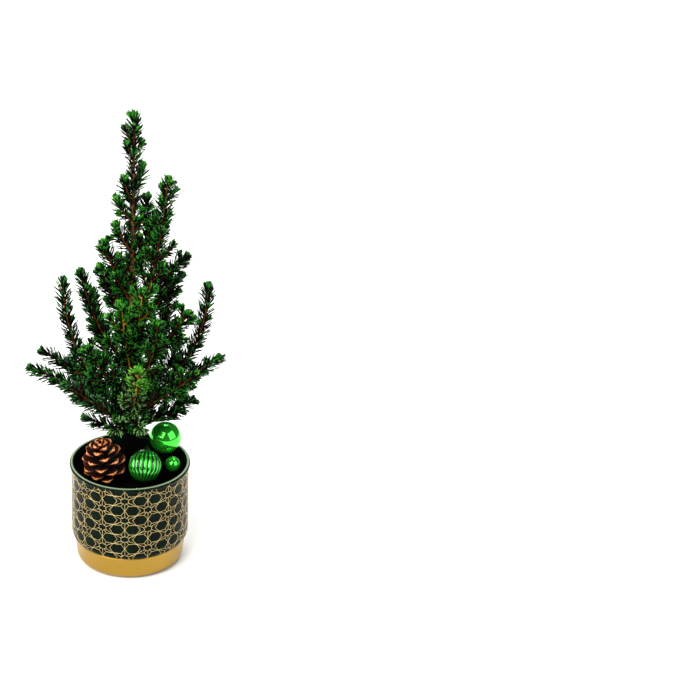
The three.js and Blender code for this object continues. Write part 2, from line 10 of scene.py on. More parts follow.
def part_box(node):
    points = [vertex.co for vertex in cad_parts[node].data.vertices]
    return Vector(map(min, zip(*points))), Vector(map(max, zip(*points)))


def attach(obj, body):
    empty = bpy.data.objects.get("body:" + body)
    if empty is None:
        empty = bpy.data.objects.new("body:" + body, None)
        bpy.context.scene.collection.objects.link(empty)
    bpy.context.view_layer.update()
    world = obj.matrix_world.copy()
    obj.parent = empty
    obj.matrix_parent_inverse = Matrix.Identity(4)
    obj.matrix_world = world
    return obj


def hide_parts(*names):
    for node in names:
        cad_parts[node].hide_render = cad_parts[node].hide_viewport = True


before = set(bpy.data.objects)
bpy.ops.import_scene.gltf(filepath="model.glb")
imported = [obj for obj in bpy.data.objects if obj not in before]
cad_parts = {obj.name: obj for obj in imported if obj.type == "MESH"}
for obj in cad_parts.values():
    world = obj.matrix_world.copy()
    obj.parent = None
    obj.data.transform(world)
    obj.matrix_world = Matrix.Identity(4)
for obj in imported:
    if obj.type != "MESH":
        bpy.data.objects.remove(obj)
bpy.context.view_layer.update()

MM = 0.001
UP = np.array([0.0, 0.0, 1.0])
RIGHT = np.array([1.0, 0.0, 0.0])

# A direction that rises or falls by more than this share of its length counts as upright.
STEEP = 0.9

# Pot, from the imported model's boxes and the wall sections of the construction.
RIM_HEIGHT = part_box("pot")[1].z / MM
RIM_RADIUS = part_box("pot")[1].x / MM
STEP_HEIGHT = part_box("pot")[0].z / MM
SOIL_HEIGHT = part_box("soil")[1].z / MM
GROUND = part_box("trunk")[0].z / MM
BODY_RADIUS = RIM_RADIUS - 1.5
WALL_RADIUS = RIM_RADIUS - 5.1
LIP_ROUND = 2.0
LIP_LOW = RIM_HEIGHT - 3.4
SWELL_LOW = LIP_LOW - 1.4
SWELL_HIGH = LIP_LOW + 0.8
SWELL_RADIUS = RIM_RADIUS - 0.2
STEP_ROUND = 7.5
STEP_INSET = 4.4
FOOT_TOP_RADIUS = 53.0
FOOT_LOW_RADIUS = 51.2
FOOT_ROUND = 8.2
FOOT_EDGE = 0.9
FOOT_INSIDE = FOOT_TOP_RADIUS - 5.0
FOOT_FLOOR = 6.0
POT_SECTORS = 256

# Gold lattice on the body: columns of six-pointed stars, each column half a period from the next. The
# star's tips and notches and the corners of the cells lie at these shares of a period from its centre.
STAR_COLUMNS = 16
STAR_PERIOD = 20.7
STAR_BELOW_RIM = 13.4
STAR_TURN = -5.0
STAR_TIP = 0.187
STAR_NOTCH = 0.13
CELL_RADIUS = 0.2887
LINE_WIDTH = 0.26
LINE_RISE = 0.07
LINE_SINK = 0.2
LINE_PAST_END = 0.3 * LINE_WIDTH
LATTICE_FOOT = STEP_HEIGHT + 0.4
LATTICE_TOP = RIM_HEIGHT - 1.2

# Soil: the sectors and rings of its surface, and its crumbs, whose sizes are the smallest and how much
# larger they get. In front of a line, a share of the crumbs has a grain of white grit on it.
SOIL_SECTORS = 128
SOIL_RINGS = 46
SOIL_LEVEL = SOIL_HEIGHT - 0.7
CRUMBS = 2600
CRUMB_SIZES = (0.5, 1.1)
GRIT_SHARE = 0.05
GRIT_SIZE = 0.55
GRIT_BEFORE = -34.0

# Trunk and boughs, by the same rule as the construction.
GAP = 0.3
TRUNK_TOP = 398.0
PLANT_TOP = 459.0
LEADER_STEPS = 8
LEADER_SEED = 31
BOUGH_SEED = 977
TRUNK_TIP_RADIUS = 1.4
TRUNK_TAPER = 4.2
FLARE_RADIUS = 2.6
FLARE_HEIGHT = 7.0
TRUNK_BOW = 0.8
TRUNK_LEAN = 3.3
TRUNK_DEPTH = 2.0
TRUNK_SIDES = 36
TRUNK_RING_STEP = 1.6
FLARE_TOP = GROUND + 12.0
FLARE_RINGS = 14
TRUNK_PLATES = (5.0, 5.0, 11.0)
TRUNK_RELIEF = 0.07
LIMB_RADIUS = (1.9, 1.15)
LIMB_SIDES = 10
LIMB_PLATES = 3.0
LIMB_RELIEF = 0.1
LIMB_STEPS = 12
BOUGH_STEPS = 24
GOLDEN_TURN = 137.5
SHOOT_SPACING = 7.4
SHOOT_LONGEST = 44.0
SHOOT_SHORTEST = 10.0
SHOOT_LEAST = 8.5
SHOOT_SHARE = 0.46
SHOOT_TAPER = 0.62
SHOOT_SIZES = (0.8, 1.15)
SPACING_SIZES = (0.85, 1.15)
SHOOT_FORK = (28.0, 44.0)
SHOOT_STEPS = 5
SHOOT_RISE = 0.16
TIP_PASS = 3.0
BARE_START = 9.0
BARE_MORE = 4.0
TIP_LENGTH = 8.0

# Finer growth that the construction leaves out: twigs on the naked limbs, on the side shoots and on
# these stretches of the trunk.
TWIG_SPACING = 10.5
TWIG_START = 7.0
TWIG_LONGEST = 16.0
TWIG_SHORTEST = 10.0
TWIG_SHARE = 0.62
TWIG_FORK = (30.0, 44.0)
TRUNK_TWIGS = ((318.0, 406.0), (250.0, 330.0), (254.0, 326.0))
TRUNK_TWIG_STEPS = 19

# Needles by rank, for stems, side shoots and twigs: where they start, their length, how many stand on
# each millimetre, how many are in the brush at the tip, how far the wood stops short of the brush's
# end, the wood's first and last radius, and its rings, of which every second stands out a little.
NEEDLE_START = (3.0, 2.0, 1.5)
NEEDLE_LENGTH = (14.2, 12.6, 11.4)
NEEDLES_PER_MM = (2.5, 1.5, 1.15)
BRUSH_NEEDLES = (50, 18, 9)
WOOD_SHORT = (10.5, 8.5, 7.5)
WOOD_RADIUS = ((1.1, 0.55), (0.75, 0.5), (0.55, 0.4))
WOOD_RINGS = (25, 9, 5)
WOOD_RIDGE = 0.08
WOOD_SIDES = 6

# Side needles: how far they lean out from the stem, in degrees, how much less at its tip, and how much
# that differs at random. They stray from their spiral by up to a turn in radians, vary in length by a
# factor, and are shorter by a share over a zone at each end.
SIDE_LEAN = 49.0
TIP_LEAN_LESS = 22.0
LEAN_SPREAD = 9.0
TURN_STRAY = 0.3
SIDE_SIZES = (0.82, 1.08)
END_SHORTER = 0.2
FOOT_ZONE = 8.0
TIP_ZONE = 9.0

# The brush: how far down from the wood's end its needles start, how far they spread from the stem in
# degrees, below which spread they are buds, and how much of the way to the growth's end they reach.
BRUSH_DEPTH = 3.0
BRUSH_SPREAD = 30.0
BUD_SPREAD = 8.0
BRUSH_SIZES = (0.84, 1.0)
SIDE, BRUSH, BUD, OLDER = range(4)

# One needle: its radius, the shares of it at the foot and the shoulder, where along it the shoulder is,
# how far its body and its tip bend to the way that the stem grows, and the marks of its points, from 0
# at the foot, where it is painted darkest as shade, up to 1. A piece holds this many needles at most.
NEEDLE_RADIUS = 0.68
FOOT_GIRTH = 0.8
SHOULDER_GIRTH = 0.85
SHOULDER_AT = 0.8
BODY_BEND = 0.16
TIP_BEND = 0.4
NEEDLE_MARKS = (0.0,) * 3 + (0.7,) * 3 + (0.85,)
NEEDLE_SEED = 2024
MOST_NEEDLES = 18000

# Needles on the upper trunk: how many, between which heights, their lean in degrees and their length.
TRUNK_NEEDLES = 260
TRUNK_NEEDLE_HEIGHTS = (292.0, TRUNK_TOP + 4.0)
TRUNK_NEEDLE_LEAN = (38.0, 56.0)
TRUNK_NEEDLE_LENGTH = (10.0, 13.0)

# Where no needles are: below the crown's skirt, which rises to the front, and in or just round the
# decorations, and before a bauble for this far towards the viewer.
SKIRT_HEIGHT = 39.0
SKIRT_RISE = 0.4
TO_FRONT = np.array([0.0, -0.89, 0.456])
FRONT_ROOM = 26.0
BAUBLE_ROOM = 0.6
CONE_ROOM = 1.0

# Each bough, by the name of its nodes: height and bearing of its root on the trunk, length, slope at
# the root and at the tip, naked share of the length, how bushy its side shoots are, and its tint.
BOUGHS = [
    ("left_low", 139, 186, 121, (46, 24), 0.26, 0.45, "deep"),
    ("left_low_back", 154, 173, 108, (42, 28), 0.28, 0.45, "deep"),
    ("left_tall", 147, 190, 172, (44, 92), 0.3, 0.42, "deep"),
    ("left_mid", 196, 172, 118, (48, 84), 0.22, 0.5, "deep"),
    ("left_inner", 234, 165, 77, (61, 69), 0, 0.75, "deep"),
    ("left_upper", 266, 188, 75, (61, 75), 0, 1, "leaf"),
    ("left_high", 318, 208, 42, (51, 76), 0, 1, "leaf"),
    ("left_top", 349, 184, 33, (40, 87), 0, 1, "leaf"),
    ("right_top", 338, 346, 46, (50, 98), 0, 1, "leaf"),
    ("right_high", 294, 0, 69, (68, 79), 0, 1, "leaf"),
    ("second_leader", 220, 338, 186, (73, 85), 0.3, 0.8, "leaf"),
    ("right_upper", 248, 10, 87, (60, 41), 0.26, 1, "deep"),
    ("right_mid", 232, 18, 80, (50, 50), 0.26, 1, "deep"),
    ("right_cluster", 188, 336, 104, (50, 60), 0.26, 1, "leaf"),
    ("right_tall", 158, 5, 157, (28, 95), 0.3, 0.42, "deep"),
    ("right_out", 153, 349, 111, (38, 39), 0.28, 0.75, "deep"),
    ("right_wide", 149, 322, 108, (40, 44), 0.28, 1, "leaf"),
    ("right_low", 132, 9, 72, (27, 27), 0, 1, "deep"),
    ("left_foot", 130, 178, 52, (20, 25), 0, 0.6, "deep"),
    ("left_front", 133, 214, 106, (48, 40), 0.28, 1, "blue"),
    ("left_rise", 163, 222, 98, (48, 62), 0, 1, "leaf"),
    ("front_tall", 206, 284, 106, (60, 73), 0, 1, "lively"),
    ("front_mid", 195, 256, 96, (56, 80), 0, 1, "lively"),
    ("front_right", 172, 302, 111, (46, 83), 0.26, 1, "leaf"),
    ("front_low", 152, 276, 110, (36, 66), 0, 0.75, "fresh"),
    ("back_right", 162, 44, 132, (44, 88), 0.28, 0.7, "leaf"),
    ("back", 184, 94, 124, (48, 86), 0.26, 1, "deep"),
    ("back_left", 161, 135, 122, (42, 88), 0.28, 0.6, "leaf"),
    ("back_right_low", 139, 36, 96, (44, 60), 0, 1, "blue"),
    ("back_low", 134, 88, 98, (30, 36), 0, 1, "blue"),
    ("back_left_low", 136, 142, 96, (32, 32), 0, 1, "blue"),
    ("front_foot_left", 138, 251, 58, (40, 2), 0, 1, "pale"),
    ("front_foot_right", 143, 280, 60, (36, 0), 0, 1, "pale"),
    ("leader_left", 368, 215, 34, (56, 88), 0, 0.4, "leaf"),
    ("leader_right", 376, 40, 34, (56, 88), 0, 0.4, "leaf"),
]

# Needle colours, each with a darker one that a needle takes halfway to its foot and in patches, on its
# way to the painted shade at its foot, and the deals: a needle takes one of its deal's four colours, and
# the near black shadow colour is painted shade among the needles. A spray's side needles have the deal
# of its tint's own name, its brushes and their buds those of ENDS, and the part that is nearer its root
# than the young share, last year's, has the older tint.
NEEDLE_COLOURS = {
    "shadow": ("030A05", "020603"),
    "deep": ("0E2A10", "06160A"),
    "leaf": ("246E1C", "123E14"),
    "blue": ("467848", "244A2A"),
    "pale": ("689A4E", "386430"),
    "lively": ("3C8A1C", "22560F"),
    "fresh": ("68A42A", "3E6E16"),
    "tip": ("409622", "1C5610"),
    "bud": ("789E2C", "3E6814"),
}
DEALS = {
    "deep": ("shadow", "shadow", "deep", "leaf"),
    "leaf": ("shadow", "shadow", "leaf", "leaf"),
    "blue": ("shadow", "deep", "blue", "blue"),
    "pale": ("shadow", "shadow", "pale", "pale"),
    "lively": ("shadow", "leaf", "leaf", "lively"),
    "fresh": ("shadow", "lively", "pale", "fresh"),
    "fresh_tip": ("lively", "tip", "fresh", "fresh"),
    "tip": ("shadow", "shadow", "leaf", "tip"),
    "bud": ("deep", "leaf", "tip", "bud"),
}
ENDS = {
    "deep": ("leaf", "tip"),
    "leaf": ("tip", "bud"),
    "blue": ("leaf", "tip"),
    "pale": ("pale", "fresh"),
    "lively": ("tip", "bud"),
    "fresh": ("fresh_tip", "bud"),
}
OLDER_TINT = {"pale": "deep", "lively": "leaf", "fresh": "pale"}
YOUNG_SHARE = 0.55

# The share of its needles that a tint keeps, where it isn't all. A main stem's needles that point to
# the front by more than the parting are left out, so the stem shows.
KEPT = {"blue": 0.8, "pale": 0.55, "fresh": 0.85}
PARTING = 0.87

# Pine cone on the soil, with its angles in degrees. The pairs are for its lowest and its highest scale,
# but a scale's thickness is for its root and its tip, and the core tube's radius for its two ends.
CONE_BASE = np.array([-21.5, -14.0, GROUND])
CONE_HEIGHT = 45.0
CONE_RADIUS = 22.5
CONE_TILT = 16.0
CONE_LEANS = 235.0
CONE_SCALES = 39
CORE_RADIUS = (6.5, 0.8)
SCALE_ROOT = (6.5, CONE_HEIGHT - 9.0)
SCALE_SLOPE = (-4.0, 68.0)
SCALE_CURL = 18.0
SCALE_LENGTH = 12.5
SCALE_LONGER_HALFWAY = 4.5
SCALE_SHORTER_ABOVE = 4.0
SCALE_HALF_WIDTH = (6.4, 3.4)
SCALE_THICKNESS = (0.45, 1.2)
SCALE_CUP = 2.0
SCALE_ROUND_FROM = 0.8
SCALE_THIN_FROM = 0.9
SCALE_ROUND_END = 1.002
CORE_TUBE = (7.5, 2.0)

# Three baubles: centre, radius, the way that the cap points, and pleats.
BAUBLES = [
    ("bauble_large", (33.6, 11.4, 120.8), 15.5, (-0.3, 0.35, -0.89), 0),
    ("bauble_ribbed", (14.1, -23.2, 108.9), 15.4, (0.1, 0.62, 0.78), 20),
    ("bauble_small", (40.4, -5.6, 100.9), 7.4, (-0.97, 0.17, 0.03), 0),
]
PLEAT_DEPTH = 0.09
CAP_SHARE = 0.2
CAP_HEIGHT = 4.0
CAP_SINK = 1.2
CAP_CRIMPS = 12
CRIMP_DEPTH = 0.06
WIRE_RADIUS = 0.6
WIRE_BEND = 4.0
WIRE_ROOM = 6.0
WIRE_FOOT = 3.0
WIRE_STEPS = 30
WIRE_SIDES = 8

# The cap's rings: height above its foot, and share of its radius.
CAP_RINGS = np.array([(0, 1.08), (0.3, 1.08), (CAP_HEIGHT - 0.8, 0.95), (CAP_HEIGHT - 0.3, 0.8),
                      (CAP_HEIGHT, 0.3)])


# Numbers and directions
def unit(vectors):
    """Vectors divided by their lengths."""
    return vectors / np.linalg.norm(vectors, axis=-1, keepdims=True)


def between(start, end, share):
    """Value at a share of the way from start to end."""
    return start + (end - start) * share


def swung(share):
    """A half cosine from 0 to 1, smooth at both ends."""
    return (1 - np.cos(math.pi * share)) / 2


def turns(sides):
    """Angles evenly round a circle."""
    return 2 * math.pi * np.arange(sides) / sides


def polar(radius, turn, height):
    """Points at a radius, a turn round the Z axis and a height."""
    return np.stack(np.broadcast_arrays(radius * np.cos(turn), radius * np.sin(turn), height), -1)


def around(first, second, turn):
    """Directions that turn from the first to the second."""
    return first * np.cos(turn)[..., None] + second * np.sin(turn)[..., None]


def first_side(forward):
    """Up, or X where forward itself is upright."""
    return np.where(np.abs(forward[..., 2:3]) > STEEP, RIGHT, UP)


def squared(side, forward):
    """Side made square to forward."""
    return unit(side - forward * (side * forward).sum(-1, keepdims=True))


def spoke(forward, turn, lean):
    """Direction that leans out of forward by an angle, towards a turn round it."""
    side = squared(first_side(forward), forward)
    return around(forward, around(side, np.cross(forward, side), turn), lean)


def ripples(points, wavelength, seed, count=18):
    """Smooth bumps between about -1 and 1: a sum of plane waves in random directions, whose lengths
    lie round the wavelength given, as one number or one for each axis."""
    dice = np.random.default_rng(seed)
    directions = unit(dice.normal(size=(count, 3)))
    waves = 2 * math.pi * directions / np.asarray(wavelength, float) * dice.uniform(0.7, 1.5, (count, 1))
    return np.sin(points @ waves.T + dice.uniform(0, 2 * math.pi, count)).sum(-1) / math.sqrt(count)


# Faces of the shapes that repeat. Points run ring by ring, and the poles come last.
def wall_faces(low, high, sides):
    """Quads between rings, by the numbers of the rings' first points."""
    ring = np.arange(sides)
    step = (ring + 1) % sides
    low, high = low[:, None], high[:, None]
    return np.stack([low + ring, low + step, high + step, high + ring], -1).reshape(-1, 4)


def tube_faces(rings, sides):
    """A wall between rings, with a fan to a pole at each end."""
    first = np.arange(rings) * sides
    ring = np.arange(sides)
    step = (ring + 1) % sides
    foot = np.stack([step, ring, np.full(sides, rings * sides)], -1)
    head = np.stack([first[-1] + ring, first[-1] + step, np.full(sides, rings * sides + 1)], -1)
    return wall_faces(first[:-1], first[1:], sides), np.concatenate([foot, head])


def loop_faces(rings, sides):
    """A wall that closes on itself both round and along, with no poles."""
    first = np.arange(rings) * sides
    return wall_faces(first, np.roll(first, -1), sides), None


def needle_faces():
    """A three-sided blade of two rings and a tip, with a closed foot."""
    wall = np.array([[0, 1, 4, 3], [1, 2, 5, 4], [2, 0, 3, 5]])
    return wall, np.array([[3, 4, 6], [4, 5, 6], [5, 3, 6], [2, 1, 0]])


class Shell:
    """A piece in the making: its points, its faces of four and three corners, and a mark for each
    point, which its material reads as the first value of the UV map."""

    def __init__(self):
        self.points, self.quads, self.triangles, self.marks = [], [], [], []
        self.count = 0

    def add(self, points, faces, marks=None):
        """Adds copies of one shape: points is copies by points each by 3."""
        points = points.reshape((-1,) + points.shape[-2:])
        offsets = self.count + np.arange(len(points))[:, None, None] * points.shape[1]
        for store, corners in ((self.quads, faces[0]), (self.triangles, faces[1])):
            if corners is not None:
                store.append((corners[None] + offsets).reshape(-1, corners.shape[-1]))
        self.points.append(points.reshape(-1, 3))
        if marks is not None:
            self.marks.append(marks)
        self.count += points.shape[0] * points.shape[1]
        return self

    def piece(self, name, material, slot, nodes):
        """Makes the mesh and its object, which rides on the plant and stands for the nodes named."""
        points = np.concatenate(self.points)
        faces = [np.concatenate(store) for store in (self.quads, self.triangles) if store]
        corners = np.concatenate([part.ravel() for part in faces]).astype(np.int32)
        widths = np.concatenate([np.full(len(part), part.shape[1]) for part in faces])
        starts = np.concatenate([[0], np.cumsum(widths)[:-1]]).astype(np.int32)
        mesh = bpy.data.meshes.new(name)
        mesh.vertices.add(len(points))
        mesh.vertices.foreach_set("co", (points * MM).astype(np.float32).ravel())
        mesh.loops.add(len(corners))
        mesh.loops.foreach_set("vertex_index", corners)
        mesh.polygons.add(len(starts))
        mesh.polygons.foreach_set("loop_start", starts)
        mesh.polygons.foreach_set("use_smooth", np.ones(len(starts), bool))
        if self.marks:
            marks = np.concatenate(self.marks)[corners]
            layer = mesh.uv_layers.new(name="UVMap")
            layer.data.foreach_set("uv", np.stack([marks, 0 * marks], -1).astype(np.float32).ravel())
        mesh.update(calc_edges=True)
        mesh.validate()
        mesh.materials.append(material)
        thing = bpy.data.objects.new(name, mesh)
        bpy.context.collection.objects.link(thing)
        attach(thing, "root")
        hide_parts(*nodes)


def nodes_of(prefix):
    """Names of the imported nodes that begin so."""
    return [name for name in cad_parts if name.startswith(prefix)]


# Paths, tubes and profiles
def tube_points(path, radius, sides):
    """Rings round a path: each point is the path's, plus the radius along side and other by the cosine
    and sine of its turn. Side is carried on from point to point, square to forward, and other is square
    to both. The two poles are the path's ends."""
    before = np.concatenate([path[:1], path[:-1]])
    after = np.concatenate([path[1:], path[-1:]])
    forward = unit(after - before)
    carried = [first_side(forward[0])]
    for ahead in forward:
        carried.append(squared(carried[-1], ahead))
    side = np.array(carried[1:])
    outward = around(side[:, None], np.cross(forward, side)[:, None], turns(sides))
    radius = np.broadcast_to(radius, outward.shape[:-1])[..., None]
    rings = path[:, None] + outward * radius
    return np.concatenate([rings.reshape(-1, 3), path[:1], path[-1:]])


def lengths(path):
    """Distance of each point along a path."""
    steps = np.linalg.norm(np.diff(path, axis=0), axis=-1)
    return np.concatenate([[0], np.cumsum(steps)])


def along(path, distance):
    """Point and direction at distances along a path."""
    distance = np.atleast_1d(distance)
    marks = lengths(path)
    index = np.clip(np.searchsorted(marks, distance, side="left") - 1, 0, len(path) - 2)
    step = path[index + 1] - path[index]
    size = (marks[index + 1] - marks[index])[:, None]
    return path[index] + step * (distance - marks[index])[:, None] / size, step / size


def cut_path(path, start, end, count):
    """Stretch of a path between two distances along it, in steps of one size."""
    return along(path, start + (end - start) * np.arange(count + 1) / count)[0]


def turned(profile, sectors):
    """Lathe about the plant's Z axis: each radius and height of the profile makes a ring."""
    return polar(profile[:, :1], turns(sectors), profile[:, 1:]).reshape(-1, 3)


def with_poles(points, low, high):
    """Points with two more on the Z axis, at the heights low and high."""
    return np.concatenate([points, [[0, 0, low], [0, 0, high]]])


def arc(radius, height, size_x, size_z, start, end, count):
    """Elliptical arc of a profile, by its centre, half sizes and angles in degrees."""
    turn = np.radians(np.linspace(start, end, count))
    return np.stack([radius + size_x * np.cos(turn), height + size_z * np.sin(turn)], -1)


def run(*points):
    """Profile points given as radius and height pairs."""
    return np.array(points, float)


def eased(start, end, count):
    """Profile run from one radius and height to another on a half cosine."""
    share = np.linspace(0, 1, count)
    return np.stack([between(start[0], end[0], swung(share)), between(start[1], end[1], share)], -1)


# Materials
def linear(code):
    """sRGB hex colour to linear values, opaque."""
    parts = [int(code[i:i + 2], 16) / 255 for i in (0, 2, 4)]
    return [c / 12.92 if c <= 0.04045 else ((c + 0.055) / 1.055) ** 2.4 for c in parts] + [1.0]


def new_material(name):
    """A material without nodes, and its node tree."""
    material = bpy.data.materials.new(name)
    material.use_nodes = True
    material.node_tree.nodes.clear()
    return material, material.node_tree


def add(tree, kind, settings=None, links=None, stops=None):
    """Adds one node. Settings are its own values or its sockets', links say which output feeds which
    socket, and stops are the places and colours of a ramp."""
    node = tree.nodes.new("ShaderNode" + kind)
    for key, value in (settings or {}).items():
        if isinstance(key, str) and hasattr(node, key):
            setattr(node, key, value)
        else:
            node.inputs[key].default_value = value
    for key, source in (links or {}).items():
        tree.links.new(source, node.inputs[key])
    if stops:
        elements = node.color_ramp.elements
        while len(elements) < len(stops):
            elements.new(0.5)
        for element, (place, code) in zip(elements, stops):
            element.position, element.color = place, linear(code)
    return node


def per_metre(size):
    """Noise scale, in features per metre, for a feature of this many millimetres."""
    return 1 / (size * MM)


def dark_green_glaze():
    """Stoneware dipped in a dark green gloss glaze and fired: a mirror coat over a body colour that
    pools darker and greener in patches, and turns a lighter sage green along the top of the lip, partly
    where the glaze breaks thin on the edge and partly as a painted highlight. Of the mix's sockets, 0 is
    the share, 6 and 7 are the colours, and 2 is what comes out, as in bark."""
    material, tree = new_material("dark_green_glaze")
    place = add(tree, "TexCoord").outputs["Object"]
    pools = add(tree, "TexNoise", {"Scale": per_metre(9), "Detail": 3.0}, {"Vector": place})
    body = add(tree, "ValToRGB", links={"Fac": pools.outputs["Fac"]},
               stops=[(0.3, "020A05"), (0.55, "031108"), (0.75, "05190D")])
    split = add(tree, "SeparateXYZ", links={"Vector": place})
    # Painted highlight, partly real thin glaze: above RIM_HEIGHT - 0.45 mm the top of the lip is mixed to
    # a lighter sage green.
    edge = add(tree, "MapRange",
               {"From Min": (RIM_HEIGHT - 0.45) * MM, "From Max": (RIM_HEIGHT - 0.1) * MM},
               {"Value": split.outputs["Z"]})
    colour = add(tree, "Mix", {"data_type": "RGBA", 7: linear("7E9276")},
                 {0: edge.outputs["Result"], 6: body.outputs["Color"]})
    wave = add(tree, "TexNoise", {"Scale": per_metre(6), "Detail": 1.0}, {"Vector": place})
    bump = add(tree, "Bump", {"Strength": 0.12, "Distance": 0.2 * MM}, {"Height": wave.outputs["Fac"]})
    shader = add(tree, "BsdfPrincipled",
                 {"Roughness": 0.08, "IOR": 1.5, "Specular IOR Level": 0.04},
                 {"Base Color": colour.outputs[2], "Normal": bump.outputs["Normal"]})
    add(tree, "OutputMaterial", links={"Surface": shader.outputs[0]})
    return material


def gold_lustre(name, code, roughness):
    """Gold lustre brushed on and fired at low heat: a satin metal film with faint cloudy wear, which
    gives warm soft highlights with no sharp mirror."""
    material, tree = new_material(name)
    place = add(tree, "TexCoord").outputs["Object"]
    cloud = add(tree, "TexNoise", {"Scale": per_metre(7), "Detail": 4.0}, {"Vector": place})
    rough = add(tree, "MapRange", {"To Min": roughness - 0.06, "To Max": roughness + 0.08},
                {"Value": cloud.outputs["Fac"]})
    grain = add(tree, "TexNoise", {"Scale": per_metre(0.9), "Detail": 2.0}, {"Vector": place})
    bump = add(tree, "Bump", {"Strength": 0.1, "Distance": 0.05 * MM}, {"Height": grain.outputs["Fac"]})
    shader = add(tree, "BsdfPrincipled", {"Base Color": linear(code), "Metallic": 1.0},
                 {"Roughness": rough.outputs["Result"], "Normal": bump.outputs["Normal"]})
    add(tree, "OutputMaterial", links={"Surface": shader.outputs[0]})
    return material


def potting_soil():
    """Peat, moist and near black in its fibres and crumbs, matt, with browner grains here and there where
    it has dried. Its colours are darkened further towards black than peat's own, as painted shade inside
    the pot and under the crown.
    """
    material, tree = new_material("potting_soil")
    place = add(tree, "TexCoord").outputs["Object"]
    grains = add(tree, "TexNoise", {"Scale": per_metre(2.2), "Detail": 6.0}, {"Vector": place})
    # Painted shade over the peat's own dark colour: the stops run from black to a dark brown.
    colour = add(tree, "ValToRGB", links={"Fac": grains.outputs["Fac"]},
                 stops=[(0.35, "010101"), (0.6, "040302"), (0.8, "0E0906")])
    bump = add(tree, "Bump", {"Strength": 0.7, "Distance": 0.8 * MM}, {"Height": grains.outputs["Fac"]})
    shader = add(tree, "BsdfPrincipled", {"Roughness": 0.95, "Specular IOR Level": 0.02},
                 {"Base Color": colour.outputs["Color"], "Normal": bump.outputs["Normal"]})
    add(tree, "OutputMaterial", links={"Surface": shader.outputs[0]})
    return material


def white_grit():
    """Perlite, volcanic glass popped by heat: small white chalky grains."""
    material, tree = new_material("white_grit")
    place = add(tree, "TexCoord").outputs["Object"]
    pits = add(tree, "TexNoise", {"Scale": per_metre(0.6)}, {"Vector": place})
    bump = add(tree, "Bump", {"Strength": 0.5, "Distance": 0.2 * MM}, {"Height": pits.outputs["Fac"]})
    shader = add(tree, "BsdfPrincipled", {"Base Color": linear("C9C4B8"), "Roughness": 0.85},
                 {"Normal": bump.outputs["Normal"]})
    add(tree, "OutputMaterial", links={"Surface": shader.outputs[0]})
    return material


def bark(name, dark, light, plate):
    """Spruce bark: thin scales that lift as the stem thickens, darker in the cracks between them and
    warmer on their faces, and painted almost black near the soil as shade under the crown. plate is the
    size of a scale in millimetres."""
    material, tree = new_material(name)
    place = add(tree, "TexCoord").outputs["Object"]
    upright = add(tree, "Mapping", {"Scale": (1.0, 1.0, 0.45)}, {"Vector": place})
    plates = add(tree, "TexNoise", {"Scale": per_metre(plate), "Detail": 5.0, "Roughness": 0.62},
                 {"Vector": upright.outputs["Vector"]})
    bark_colour = add(tree, "ValToRGB", links={"Fac": plates.outputs["Fac"]}, stops=[(0.36, dark), (0.66, light)])
    split = add(tree, "SeparateXYZ", links={"Vector": place})
    # Painted shade: the bark is mixed to near black below GROUND + 40 mm, fading out by GROUND + 100 mm.
    height = add(tree, "MapRange", {"From Min": (GROUND + 40) * MM, "From Max": (GROUND + 100) * MM},
                 {"Value": split.outputs["Z"]})
    colour = add(tree, "Mix", {"data_type": "RGBA", 6: linear("010101")},
                 {0: height.outputs["Result"], 7: bark_colour.outputs["Color"]})
    bump = add(tree, "Bump", {"Strength": 0.6, "Distance": 0.3 * MM}, {"Height": plates.outputs["Fac"]})
    shader = add(tree, "BsdfPrincipled", {"Roughness": 0.82, "Specular IOR Level": 0.04},
                 {"Base Color": colour.outputs[2], "Normal": bump.outputs["Normal"]})
    add(tree, "OutputMaterial", links={"Surface": shader.outputs[0]})
    return material


def needle_wax(name, code, shade):
    """Spruce needle: green leaf under a thin wax skin, whose sheen draws a pale line along each needle.
    The colour deepens from the needle's tip to its foot, where the UV map's first value falls to 0, as
    painted shade among the crowded feet of the needles, and varies a little in patches the size of a few
    needles."""
    material, tree = new_material(name)
    coordinates = add(tree, "TexCoord")
    split = add(tree, "SeparateXYZ", links={"Vector": coordinates.outputs["UV"]})
    patches = add(tree, "TexNoise", {"Scale": per_metre(4), "Detail": 1.0},
                  {"Vector": coordinates.outputs["Object"]})
    shifted = add(tree, "Math", {"operation": "MULTIPLY_ADD", 1: 0.3}, {0: patches.outputs["Fac"]})
    tree.links.new(split.outputs["X"], shifted.inputs[2])
    # Painted shade along each needle: near black at its foot, the darker colour halfway and its own
    # colour at the tip.
    colour = add(tree, "ValToRGB", links={"Fac": shifted.outputs[0]},
                 stops=[(0.15, "030803"), (0.5, shade), (0.85, code)])
    shader = add(tree, "BsdfPrincipled", {"Roughness": 0.42, "IOR": 1.45, "Specular IOR Level": 0.12},
                 {"Base Color": colour.outputs["Color"]})
    add(tree, "OutputMaterial", links={"Surface": shader.outputs[0]})
    return material


